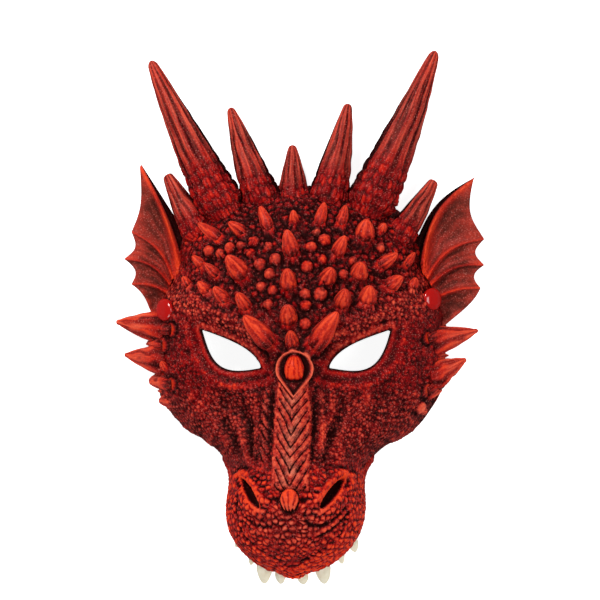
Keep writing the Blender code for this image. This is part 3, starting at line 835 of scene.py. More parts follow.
    def pull(
        self, base: np.ndarray, lean: np.ndarray, radius: float, flutes: int, roundness: float, ringed: bool
    ) -> None:
        """Pulls the skin around one place towards a leaning point.

        Args:
            base: the middle of the thorn's root.
            lean: from there to its tip.
            radius: half its width at the root.
            flutes: how many grooves run down it.
            roundness: power of its profile, less for a blunter tip.
            ringed: whether a ring is pressed into its top, as on a wart.
        """
        away = self.points - base
        flat = away - self.normals * np.sum(away * self.normals, axis=2, keepdims=True)
        distance = np.linalg.norm(flat, axis=2)
        near = (distance < radius * 1.3) & (np.linalg.norm(away, axis=2) < radius * 2.5)
        side = unit(np.cross(lean, UP))
        groove = 0.5 + 0.5 * np.cos(flutes * np.arctan2(flat @ side, flat @ np.cross(UP, side)))
        share = distance / radius * (1.0 + 0.03 * groove)
        press = bell(share - 0.46, 0.17) * ringed
        height = np.clip(1.0 - share**2, 0.0, 1.0) ** roundness * (1.0 - 0.06 * press)
        amount = height * np.linalg.norm(lean)
        better = near & (amount > self.proud)
        self.lift[better] = height[better][:, None] * lean
        self.proud[better] = amount[better]
        self.streak[better] = groove[better]
        self.on_wart[better] = ringed * height[better]
        self.pressed[better] = press[better]

    def carve_nose(self) -> np.ndarray:
        """Bed of the nose plate, ring and dome, side ridges and nose-tip knob.

        Returns:
            Heights above the skin.
        """
        x, y = self.x, self.y
        plate = step(self.plate_half + 0.8, self.plate_half - 0.8, np.abs(x))
        plate = plate * step(self.plate_end - 1.0, self.plate_end + 4.0, y)
        plate = plate * step(self.plate_top + 5.0, self.plate_top, y)
        dx, dy = x - self.ring_centre[0], y - self.ring_centre[1]
        lean = math.asin(self.ring_radius / self.ring_point)
        below = -np.abs(dx) * math.sin(lean) - dy * math.cos(lean) > 0
        reach = np.where(below, np.abs(dx) * math.cos(lean) - dy * math.sin(lean), np.hypot(dx, dy))
        inside = step(self.ring_radius, self.ring_radius - 2.0, reach)
        turn = np.arctan2(dx, 16.0 - dy)
        dome_reach = np.hypot(dx / (7.2 - 0.1 * dy), dy / np.where(dy > 0.0, 11.2, 9.2))
        dome = boss(dome_reach, turn, self.dome_flutes, 0.07 * step(4.0, -6.0, dy), 0.7)
        dome = dome * step(-8.2, -6.4, dy)
        dome_lines = np.cos(turn * self.dome_flutes + 1.5 * waves(dx, dy, 3.0, 61)) > 0.45
        kx, ky = x - self.knob[0], y - self.knob[1]
        turn = np.arctan2(kx, ky + 14.0)
        knob_reach = np.hypot(kx / self.knob_half[0], ky / self.knob_half[1])
        knob = boss(knob_reach, turn, self.knob_flutes, 0.16 * step(5.0, -4.0, ky), 0.6)
        knob_lines = np.cos(turn * self.knob_flutes + 1.5 * waves(kx, ky, 3.0, 63)) > 0.45
        dimples = -2.2 * (np.exp(-((np.abs(kx) - 10.0) ** 2 + ky**2) / 9.0))
        stem = step(-106.0, -92.0, y) * step(-42.0, -56.0, y)
        ridge = bell(np.abs(x) - self.side_ridge, 2.8) * stem
        slant = 0.5 + 0.5 * np.sin((y - 1.6 * np.abs(x)) * 0.8 + 0.9 * waves(x, y, 7.0, 65))
        scutes = np.where(x < 0, 0.35 + 0.65 * slant**0.5, step(-104.0, -82.0, y))
        gully = -0.5 * bell(np.abs(x) - 14.6, 1.8) * stem
        self.nose_lines = np.where(y > self.mid_nose, dome_lines, knob_lines) * 1.0
        self.masks.update(
            plate=plate,
            dome=dome + knob,
            ring=bell(reach - self.ring_radius, 0.75),
            in_ring=inside,
            side_glow=np.where(x > 0, 2.0 * bell(y + 78.0, 13.0) - 0.9, -1.0) * ridge,
        )
        ring = self.ring_height * bell(reach - self.ring_radius, self.ring_width)
        bosses = self.dome_height * dome + self.knob_height * knob
        return ring + bosses + dimples + 1.5 * ridge * scutes + gully - 1.2 * inside

    def carve_nostrils(self) -> np.ndarray:
        """Rolled rims round the two nostril slits, with the folds below them.

        Returns:
            Heights above the skin.
        """
        place, turn = self.form.nostril, self.form.nostril_turn
        wide, long = self.nostril_half
        x, y = np.abs(self.x) - place[0], self.y - place[1]
        across = x * math.cos(turn) - y * math.sin(turn)
        along = x * math.sin(turn) + y * math.cos(turn)
        half = wide * np.sqrt(np.clip(1.0 - (along / long) ** 2, 0.0004, 1.0))
        slit = np.clip(1.0 - (across / half) ** 2, 0.0, 1.0) * (np.abs(along) < long)
        around = np.hypot(across, np.clip(np.abs(along) - 9.0, 0.0, None)) + 0.6 * waves(x, y, 5.0, 71)
        weight = np.where(across < 0, 1.0, 0.35 + 0.65 * step(2.0, 11.0, along)) * step(-16.0, -9.0, along)
        weight = weight + (1.0 - weight) * step(4.0, 1.0, np.abs(across)) * 0.6
        rim = bell(around - 6.0, 2.2) * weight
        roll = np.hypot((across - 0.5) / 7.0, (along - 1.0) / 15.0)
        folds = bell(roll - 1.75, 0.16) + 0.8 * bell(roll - 2.3, 0.15)
        folds *= step(2.0, -6.0, along) * step(-34.0, -20.0, along) * step(-12.0, -4.0, across)
        folds *= np.where(self.x > 0, 1.0, 0.5) * (0.7 + 0.5 * waves(x, y, 7.0, 75))
        # Painted shade: the paint turns near black inside the slits.
        self.masks.update(in_nostril=np.clip(slit * 2.2, 0.0, 1.0), rim=rim, fold=folds)
        return -self.nostril_depth * slit**0.5 + self.nostril_rim * rim - 1.3 * folds

    def carve_lids(self) -> np.ndarray:
        """Signed distance from the eye holes, and the lids that run round them.

        Returns:
            Heights above the skin.
        """
        inner, along, up, length = self.form.eye_axes()
        dx, dy = np.abs(self.x) - inner[0], self.y - inner[1]
        u = (dx * along[0] + dy * along[1]) / length
        v = dx * up[0] + dy * up[1]
        outline = self.form.eye_outline(60)
        outline = np.vstack([outline, outline[:1]])
        distance = np.full(self.x.shape, FAR)
        near = (np.abs(u - 0.5) < 1.3) & (np.abs(v) < 40.0)
        distance[near] = path_distance(np.abs(self.x[near]), self.y[near], outline)
        inside = (u > 0) & (u < 1) & (v < self.form.lid(u, True)) & (v > -self.form.lid(u, False))
        self.eye = np.where(inside, -distance, distance)
        lower = step(0.5, -3.0, v)
        self.on_lid = bell(self.eye - 2.4, 2.0)
        self.masks["under_lid"] = bell(self.eye - 4.5, 4.0) * lower
        self.lid_shade = lower * step(0.1, 0.4, u)
        lid = 0.5 * bell(self.eye - 2.6, 1.9) - 0.25 * bell(self.eye - 6.6, 2.4)
        return lid + 0.7 * bell(self.eye - 10.5, 2.8) * lower

    def carve_scales(self) -> np.ndarray:
        """Pebbled scales in rows that follow the rim, and the soft folds of the cheeks.

        Returns:
            Heights above the skin.
        """
        x, y, masks = self.x, self.y, self.masks
        muzzle = step(-92.0, -108.0, y)
        (fine, share), (coarse, lot), (snout, pick) = (
            cobbles(self.points, size, jitter, seed)
            for size, jitter, seed in zip(self.scale_mm, (0.9, 0.9, 0.8), (5, 9, 15))
        )
        fine, share = fine * (1.0 - muzzle) + snout * muzzle, share * (1.0 - muzzle) + pick * muzzle
        cheek = step(-42.0, -60.0, y) * (1.0 - muzzle)
        brow_band = bell(path_distance(np.abs(x), y, ((28.0, -18.0), (88.0, 16.0))), 11.0)
        under_eye = bell(path_distance(np.abs(x), y, ((26.0, -52.0), (88.0, -32.0))), 8.0)
        crown = step(-8.0, 16.0, y) * (1.0 - brow_band) * step(96.0, 76.0, np.abs(x))
        amount = 0.46 + 0.22 * cheek + 0.58 * muzzle + 0.45 * brow_band + 0.25 * under_eye
        height = amount * (fine * (0.6 + 0.7 * share) - 0.45)
        height += (0.28 + 0.85 * crown) * (coarse * (0.5 + 0.8 * lot) - 0.4)
        turn, reach = np.arctan2(x, y + 165.0), np.hypot(x, y + 165.0)
        folds = waves(turn / 0.07 + 0.6 * waves(x, y, 22.0, 31), reach / 48.0, 1.0, 35)
        height += cheek * 2.3 * folds * step(15.0, 26.0, np.abs(x))
        height += 0.5 * waves(x, y, 6.0, 41) + 0.22 * waves(x, y, 2.2, 43)
        rows = 0.5 + 0.5 * np.cos(self.from_rim * 2.0 * math.pi / 5.2 + waves(x, y, 14.0, 47))
        height += muzzle * 0.4 * rows * step(30.0, 12.0, self.from_rim)
        masks.update(muzzle=muzzle, cheek=cheek, crease=cheek * folds)
        masks.update(brow_band=brow_band, under_eye=under_eye)
        flat = masks["plate"] + 0.75 * masks["dome"] + 0.7 * masks["ring"] + 0.2 * masks["in_ring"]
        soft = 0.5 * self.on_lid + 0.5 * masks["under_lid"] + 0.2 * masks["rim"] + masks["in_nostril"]
        smooth = np.clip(np.clip(flat, 0.0, 1.0) + soft, 0.0, 1.0)
        return height * (1.0 - 0.85 * smooth) * (1.0 - 0.8 * np.clip(self.proud / 4.0, 0.0, 1.0))

    def carve_lip(self) -> np.ndarray:
        """Broad lip that runs round the muzzle, set off by a groove.

        Returns:
            Heights above the skin.
        """
        form = self.form
        y = np.linspace(-88.0, form.places[0], 90)
        edge = np.vstack([np.column_stack([form.station(y)[0], y]), [0.0, form.places[0]]])
        low = self.y[:, 0] < -84.0
        px, py = np.abs(self.x[low]), self.y[low]
        away = np.full(self.x.shape, FAR)
        away[low] = path_distance(px, py, edge) + 0.7 * waves(px, py, 9.0, 81)
        there = step(-98.0, -116.0, self.y)
        self.on_lip = step(8.4, 7.0, away) * there
        self.masks["by_lip"] = bell(away - 8.9, 0.9) * there * (0.5 + 0.5 * waves(self.x, self.y, 11.0, 83))
        return 0.5 * self.on_lip - 0.7 * self.masks["by_lip"]

    def snap_to_eyes(self, moved: np.ndarray) -> np.ndarray:
        """Moves the points just inside an eye hole onto its edge and says which quads stay.

        Args:
            moved: the carved points, changed in place.

        Returns:
            True for each quad of the grid that isn't inside an eye hole.
        """
        inside = self.eye < 0.0
        keep = ~(inside[:-1, :-1] & inside[1:, :-1] & inside[:-1, 1:] & inside[1:, 1:])
        touch = np.zeros_like(inside)
        for di, dj in np.ndindex(2, 2):
            touch[di : di + keep.shape[0], dj : dj + keep.shape[1]] |= keep
        outline = self.form.eye_outline(240)
        ends = np.roll(outline, -1, axis=0) - outline
        for i, j in np.argwhere(inside & touch):
            side = math.copysign(1.0, self.x[i, j])
            p = np.array([abs(moved[i, j, 0]), moved[i, j, 1]])
            t = np.clip(np.sum((p - outline) * ends, axis=1) / np.sum(ends**2, axis=1), 0.0, 1.0)
            foot = outline + t[:, None] * ends
            best = foot[np.argmin(np.sum((foot - p) ** 2, axis=1))]
            moved[i, j, 0], moved[i, j, 1] = side * best[0], best[1]
        return keep

    def sculpt(self) -> None:
        """Carves the whole skin and cuts the eye holes out of it."""
        self.grid()
        self.raise_thorns()
        carved = self.carve_nose() + self.carve_nostrils() + self.carve_lids() + self.carve_lip()
        fade = step(0.0, 3.0, self.from_rim)
        fade[: self.end_rows] *= np.linspace(0.0, 1.0, self.end_rows)[:, None]
        fade[-self.end_rows :] *= np.linspace(1.0, 0.0, self.end_rows)[:, None]
        height = (carved + self.carve_scales()) * fade
        self.carved = self.points + self.lift + self.normals * height[:, :, None]
        self.brush(height + 0.5 * self.proud)
        self.keep = self.snap_to_eyes(self.carved)
        self.shading = grid_normals(self.carved)

    def brush(self, rise: np.ndarray) -> None:
        """Works out where the paint has worn or pooled, where shade and light are painted in, and where it is
        tinted.

        Args:
            rise: how far the carving stands proud of the skin.
        """
        x, y, masks = self.x, self.y, self.masks
        near, wide = rise - blurred(rise, 4), rise - blurred(rise, 16)
        muzzle, cheek, band, dome = masks["muzzle"], masks["cheek"], masks["brow_band"], masks["dome"]
        blotch = 0.5 + 0.5 * waves(x, y, 7.0, 85)
        wear_and_shade = self.ground + (0.50 + 0.14 * cheek + 0.3 * muzzle + 0.2 * band) * near + 0.07 * wide
        wear_and_shade -= 0.12 * np.exp(-(np.hypot(x / 66.0, (y - 30.0) / 46.0) ** 4)) * (1.0 - band)
        wear_and_shade -= 0.10 * step(50.0, 68.0, y)
        wear_and_shade += 0.12 * np.clip(self.proud / 3.0, 0.0, 1.0) - 0.10 * self.streak * (self.proud > 1.0)
        wear_and_shade += self.on_wart * (0.10 + 0.16 * waves(x, y, 1.5, 87) - 0.2 * blotch * self.pressed)
        wear_and_shade += dome * (np.where(y > self.mid_nose, 0.25, 0.04) - 0.4 * self.nose_lines)
        wear_and_shade += 0.16 * self.on_lip * bell(x - 12.0, 34.0)
        # Painted shade: the cheeks darken towards their outer sides and along the rim.
        wear_and_shade -= cheek * (0.05 * step(70.0, 30.0, np.abs(x)) + 0.10 * step(20.0, 6.0, self.from_rim))
        wear_and_shade -= (0.35 + 0.55 * self.lid_shade) * bell(self.eye, 0.9)
        middle = muzzle * bell(x, 25.0) * bell(y + 139.0, 14.0)
        self.wear_and_shade = wear_and_shade - 0.07 * middle + sum(shade * masks[name] for name, shade in self.shades.items())
        tops = np.clip(2.5 * near, 0.0, 1.0) * (0.45 * middle + 0.3 * band + 0.2 * cheek)
        self.tint = np.clip(0.45 * masks["ring"] + 0.25 * self.on_wart * blotch + tops, 0.0, 1.0)

    def wall_of_eye(self) -> Sheet:
        """The painted edge that turns down into an eye hole.

        Returns:
            The edge on the right.
        """
        outline = self.form.eye_outline(90)
        top = self.surface_height(outline)
        rings = [np.column_stack([outline, top - self.eye_edge * k]) for k in (0.0, 0.25, 0.5, 1.0)]
        return Sheet(np.stack(rings), 0.22, wraps=True)

    def surface_height(self, places: np.ndarray) -> np.ndarray:
        """Height of the carved skin on its right half.

        Args:
            places: where it is wanted.

        Returns:
            The height of the carved point nearest to each place.
        """
        flat = self.carved.reshape(-1, 3)
        heights = []
        for x, y in places:
            near = flat[(np.abs(flat[:, 0] - x) < 2.0) & (np.abs(flat[:, 1] - y) < 2.0)]
            away = np.hypot(near[:, 0] - x, near[:, 1] - y)
            heights.append(float(near[np.argmin(away), 2]))
        return np.array(heights)

    def folded(self, first: int, last: int) -> Sheet:
        """One part of the skin, with its edge turned under at the rim.

        Args:
            first: first row.
            last: last row, which the next part begins with.

        Returns:
            The part as a sheet.
        """
        rows, beside = slice(first, last + 1), ((0, 0), (1, 1))
        points = np.pad(self.carved[rows], (*beside, (0, 0)), mode="edge")
        points[:, 0, 0] += self.fold
        points[:, -1, 0] -= self.fold
        keep = np.pad(self.keep[first:last], beside, constant_values=True)
        wear_and_shade = np.pad(self.wear_and_shade[rows], beside, constant_values=0.1)
        normals = np.pad(self.shading[rows], (*beside, (0, 0)), mode="edge")
        return Sheet(points, wear_and_shade, np.pad(self.tint[rows], beside), keep=keep, normals=normals)

    def build(self, paint: Material) -> Objects:
        """Builds the skin in an upper and a lower part, and the edges of the eye holes.

        Args:
            paint: the mask's paint.

        Returns:
            The two parts and the two edges.
        """
        self.sculpt()
        split = self.rows_above + self.end_rows
        right = self.wall_of_eye()
        sheets = {
            "skin_brow": self.folded(0, split),
            "skin_muzzle": self.folded(split, len(self.points) - 1),
            "eye_edge_right": right,
            "eye_edge_left": replace(right, points=right.points * MIRROR),
        }
        return [sheet.build(name, paint) for name, sheet in sheets.items()]


@dataclass
class NosePlate:
    """The plate of nested chevrons down the bridge of the nose, cut more finely than the skin round it."""

    form: FaceForm
    shoulder: float = -44.0
    notch: float = -56.0
    end: float = -117.0
    half: Pair = (10.6, 12.9)
    height: float = 3.2
    sink: float = 1.8
    pitch: float = 8.3
    slopes: Pair = (1.72, 1.5)
    groove: float = 0.6
    borders: Pair = (1.9, 0.6)
    rows: int = 200
    columns: int = 76

    def sheet(self) -> Sheet:
        """Works out the plate, whose edge sinks into the skin.

        Returns:
            A sheet with rows down the nose.
        """
        lines = np.linspace(0.0, 1.0, self.rows + 1), np.linspace(-1.0, 1.0, self.columns + 1)
        r, share = np.meshgrid(*lines, indexing="ij")
        half = self.half[0] + (self.half[1] - self.half[0]) * step(0.0, 0.35, r)
        top = np.minimum(self.shoulder, self.notch + 1.32 * np.abs(share * half))
        y = top + r * (self.end - top)
        slope = np.where(share < 0, *self.slopes)
        notch = (y - slope * half) / self.pitch
        half = half + 0.9 * (notch - np.floor(notch) - 0.5)
        x = share * half
        place = y - slope * np.abs(x) + 0.45 * waves(x, y, 5.0, 91) + 1.1 * np.sin(y * 0.21)
        saw = place / self.pitch - np.floor(place / self.pitch)
        inner = half - np.where(x < 0, *self.borders) - np.abs(x)
        cut = step(0.0, 1.3, inner + 0.8 * waves(x, y, 3.0, 93))
        lean = self.pitch / np.sqrt(1.0 + slope**2)
        groove = bell((saw - 0.5) * lean, self.groove) * cut
        line = bell(((saw + 0.5) % 1.0 - 0.28) * lean, 0.3) * cut
        border = np.minimum((1.0 - np.abs(share)) / 0.1, np.minimum(r / 0.02, (1.0 - r) / 0.09))
        rise = np.sqrt(np.clip(1.0 - (1.0 - np.clip(border, 0.0, 1.0)) ** 2, 0.0, 1.0))
        rough = waves(x, y, 1.5, 95) + 0.6 * waves(x, y, 0.8, 97)
        relief = 1.1 * (saw - 0.5) * cut - 1.3 * groove - 0.4 * line + 0.16 * rough
        z = self.form.skin(x, y) - self.sink + (self.height + self.sink + relief) * rise
        worn = bell(x, 6.5) * (0.5 + 0.5 * waves(x, y, 4.0, 99))
        wear_and_shade = 0.74 + 0.22 * rough - 0.56 * groove - 0.28 * line - 0.10 * worn - 0.4 * (1.0 - rise)
        tint = (0.12 + 0.75 * worn + 0.16 * rough) * (1.0 - groove) * rise
        points = np.stack([x, y, z], axis=2)
        return Sheet(points, wear_and_shade, tint, normals=grid_normals(points))

    def build(self, paint: Material) -> Object:
        """Builds the plate in the mask's paint."""
        return self.sheet().build("nose_plate", paint)


@dataclass
class Thorn:
    """A horn, spike or tooth: a fluted cone with leaf-shaped scales round its foot."""

    name: str
    start: np.ndarray
    end: np.ndarray
    width: float
    depth: float
    flutes: int
    taper: float = 0.82
    flute_depth: float = 0.13
    scale_mm: float = 3.8
    scaly: float = 0.34
    rings: int = 190
    sides: int = 96
    tip_share: float = 0.965
    tip_width: float = 0.0
    bulge: float = 0.0
    bow: float = 0.0
    line_wear: float = 0.5
    pale: float = 0.35
    wear_and_shade: float = 0.42
    root_shade: float = 0.0
    bare_side: float = 0.0
    seed: int = 0

    def profile(self, t: np.ndarray) -> np.ndarray:
        """The thorn's width along its length.

        Args:
            t: places from 0 at its foot to 1 at its tip.

        Returns:
            Its width there, as a share of the full width.
        """
        if self.bulge > 0.0:
            past = np.clip((t - self.bulge) / (1.0 - self.bulge), 0.0, 1.0)
            before = np.clip(1.0 - t / self.bulge, 0.0, 1.0)
            return np.sqrt(1.0 - past**2.0) * (1.0 - 0.22 * past) * (1.0 - 0.2 * before**2)
        size = self.tip_width + (1.0 - self.tip_width) * np.maximum(1.0 - t, 0.0) ** self.taper
        tip = np.clip((t - self.tip_share) / (1.0 - self.tip_share), 0.0, 1.0)
        size = np.maximum(size, (1.0 - self.tip_share) ** self.taper) * np.sqrt(1.0 - tip**2)
        return size * (0.7 + 0.3 * step(0.0, 0.12, t))

    def sheet(self) -> Sheet:
        """Works out the thorn's skin.

        Returns:
            A sheet that closes on itself.
        """
        axis = self.end - self.start
        length = float(np.linalg.norm(axis))
        side = unit(np.cross(axis, UP))
        out = np.cross(side, axis / length)
        along = np.linspace(0.0, 1.0, self.rings + 1) ** 0.94
        t, a = np.meshgrid(along, round_angles(self.sides), indexing="ij")
        cos, sin = np.cos(a), np.sin(a)
        wander = 0.9 * waves(cos * 2.0, t * 5.0 + sin, 1.0, self.seed)
        flute = np.abs(np.sin(self.flutes * a / 2 + wander)) ** 0.6
        fine = 0.5 + 0.5 * np.cos(self.flutes * 3 * a + 5.0 * wander)
        dome, share = pebbles(a * self.width / 2, t * length * 0.5, self.scale_mm, 0.6, self.seed + 3)
        edge = t + 0.07 * waves(cos * 3.0, sin * 3.0, 1.0, self.seed + 5)
        foot = step(self.scaly + 0.10, self.scaly - 0.10, edge)
        relief = (1.0 - foot) * self.flute_depth * (flute + 0.22 * fine - 0.6)
        relief += foot * 0.11 * (dome * (0.6 + 0.7 * share) - 0.5)
        relief += foot * 0.5 * self.flute_depth * (flute - 0.6)
        relief += 0.03 * waves(cos * 3.0, t * length / 6, 1.0, self.seed + 9)
        swell = self.profile(t) * (1.0 + relief)
        across = self.width / 2 * cos * swell + self.bow * length * np.sin(math.pi * t)
        proud = self.depth / 2 * sin * swell
        points = self.start + axis * t[:, :, None] + across[:, :, None] * side + proud[:, :, None] * out
        streaks = 0.5 + 0.5 * waves(cos * self.flutes, t * length / 9.0 + sin * 9.0, 1.0, self.seed + 21)
        scratch = waves(cos * self.flutes * 2.2, t * length / 30.0 + sin * 7.0, 1.0, self.seed + 27)
        lines = self.line_wear * (flute - 0.7) + 0.20 * (fine - 0.5)
        wear_and_shade = self.wear_and_shade + (1.0 - foot) * (lines + 0.16 * (streaks - 0.5) + 0.12 * scratch)
        wear_and_shade += foot * (0.52 * dome * (0.5 + 0.6 * share) + 0.14 * flute - 0.31)
        # Paler towards the tip; painted light and shade make the upper side a little lighter and the
        # underside darker.
        wear_and_shade += 0.10 * step(0.5, 1.0, t) + 0.06 * sin - 0.25 * step(-0.1, -0.8, sin)
        wear_and_shade -= self.root_shade * step(0.45, 0.0, t)
        bare = step(0.84, 0.95, self.bare_side * cos) * step(0.95, 0.45, t) + step(0.2, 0.7, -sin)
        wear_and_shade = wear_and_shade * (1.0 - np.clip(bare, 0.0, 1.0) * abs(self.bare_side))
        tint = (0.05 + self.pale * streaks * flute * step(0.2, 0.6, t)) * (1.0 - foot) * (wear_and_shade > 0.3)
        return Sheet(points, wear_and_shade, tint, wraps=True, caps=True)

    def build(self, finish: Material) -> Object:
        """Builds the thorn in a finish."""
        return self.sheet().build(self.name, finish)


class ThornSet:
    """Horns, spikes or teeth that are made alike."""

    def thorns(self) -> Iterator[Thorn]:
        """Each kind works out its thorns, one after another."""
        raise NotImplementedError

    def build(self, finish: Material) -> Objects:
        """Builds every thorn in a finish."""
        return [thorn.build(finish) for thorn in self.thorns()]


@dataclass
class BrowThorns(ThornSet):
    """The thorns between the brow and the horns, fluted from foot to tip."""

    face: CarvedFace
    sink: float = 2.4
    depth: float = 0.92
    bulge: float = 0.3
    rings: int = 40
    sides: int = 36

    def thorns(self) -> Iterator[Thorn]:
        """Works out the thorns of the brow.

        Returns:
            The thorns in order.
        """
        for number, (base, point, width) in enumerate(self.face.feet()):
            name, flutes, depth = f"brow_thorn_{number + 1:02d}", 6 + number % 3, width * self.depth
            yield Thorn(
                name, base - UP * self.sink, point, width, depth, flutes, flute_depth=0.09, scaly=-1.0,
                rings=self.rings, sides=self.sides, bulge=self.bulge, line_wear=0.4, pale=0.08, wear_and_shade=0.66,
                root_shade=0.34, seed=500 + 5 * number,
            )


@dataclass
class CrownHorns(ThornSet):
    """Seven horns round the crown, from left to right, bare on the sides that face the middle."""

    places: dict[str, Spike] = field(
        default_factory=lambda: {
            "horn_side_left": ((-20.2, 18.2), (-25.1, 26.8), 4.9),
            "horn_tall_left": ((-14.9, 21.9), (-28.2, 48.3), 8.7),
            "horn_mid_left": ((-7.4, 23.8), (-13.1, 39.4), 6.7),
            "horn_centre": ((-1.0, 23.9), (-1.3, 32.3), 5.2),
            "horn_mid_right": ((5.8, 23.9), (9.3, 40.1), 6.9),
            "horn_tall_right": ((13.9, 22.3), (25.8, 50.0), 9.2),
            "horn_side_right": ((20.2, 16.9), (25.6, 25.6), 4.8),
        }
    )
    depth: float = 0.72
    root_z: float = 6.4
    tip_z: float = 3.9
    sink: float = 4.0
    taper: float = 0.82
    bow: float = 0.012

    def thorns(self) -> Iterator[Thorn]:
        """Works out the seven horns.

        Returns:
            The thorns in order.
        """
        for number, (name, (root, tip, width)) in enumerate(self.places.items()):
            along = np.subtract(tip, root)
            sunk = self.sink / float(np.hypot(*along))
            start = np.array([*(np.array(root) - along * sunk), self.root_z]) * HUNDREDTH
            end = np.array([*tip, self.tip_z]) * HUNDREDTH
            wide = width * (1.0 + sunk) ** self.taper * HUNDREDTH
            bare = 0.0 if "centre" in name else -math.copysign(1.0, root[0])
            blunt = 0.24 if "side" in name else 0.14
            rings, sides = (190, 96) if width > 8 else (140, 84) if width > 6 else (90, 64)
            yield Thorn(
                name, start, end, wide, wide * self.depth, 9 + number % 2, self.taper, rings=rings,
                sides=sides, tip_width=blunt, bow=-self.bow * bare, bare_side=bare, seed=11 * number,
            )


@dataclass
class CheekSpikes(ThornSet):
    """Spikes that stand out sideways below the fins, each with a groove down its length."""

    places: dict[str, Spike] = field(
        default_factory=lambda: {
            "cheek_spike_left_1": ((-24.8, -2.2), (-34.9, -1.1), 7.2),
            "cheek_spike_left_2": ((-25.0, -8.4), (-33.3, -7.3), 6.6),
            "cheek_spike_left_3": ((-24.0, -11.9), (-28.6, -12.4), 4.8),
            "cheek_spike_left_4": ((-23.0, -15.7), (-26.7, -16.1), 4.0),
            "cheek_spike_right_1": ((24.4, -5.1), (33.8, -2.7), 6.2),
            "cheek_spike_right_2": ((24.6, -11.6), (31.5, -8.1), 6.4),
            "cheek_spike_right_3": ((23.8, -14.2), (26.9, -13.8), 3.6),
            "cheek_spike_right_4": ((21.4, -17.0), (24.1, -18.1), 3.2),
            "cheek_bump_left_1": ((-25.0, -5.2), (-29.2, -5.3), 3.2),
            "cheek_bump_left_2": ((-24.0, -13.8), (-27.0, -14.2), 2.6),
            "cheek_bump_right_1": ((25.2, -7.6), (28.2, -7.4), 2.4),
        }
    )
    depth: float = 0.62
    root_z: float = 5.0
    tip_z: float = 2.9

    def thorns(self) -> Iterator[Thorn]:
        """Works out the spikes.

        Returns:
            The thorns in order.
        """
        for number, (name, (root, tip, width)) in enumerate(self.places.items()):
            start, end = np.array([[*root, self.root_z], [*tip, self.tip_z]]) * HUNDREDTH
            wide, taper = width * HUNDREDTH, 0.72 if name.endswith(("_1", "_2")) else 0.5
            yield Thorn(
                name, start, end, wide, wide * self.depth, 5 + number % 2, taper, flute_depth=0.15,
                scaly=-1.0, rings=48, sides=52, tip_share=0.93, wear_and_shade=0.60, root_shade=0.3,
                seed=100 + 7 * number,
            )


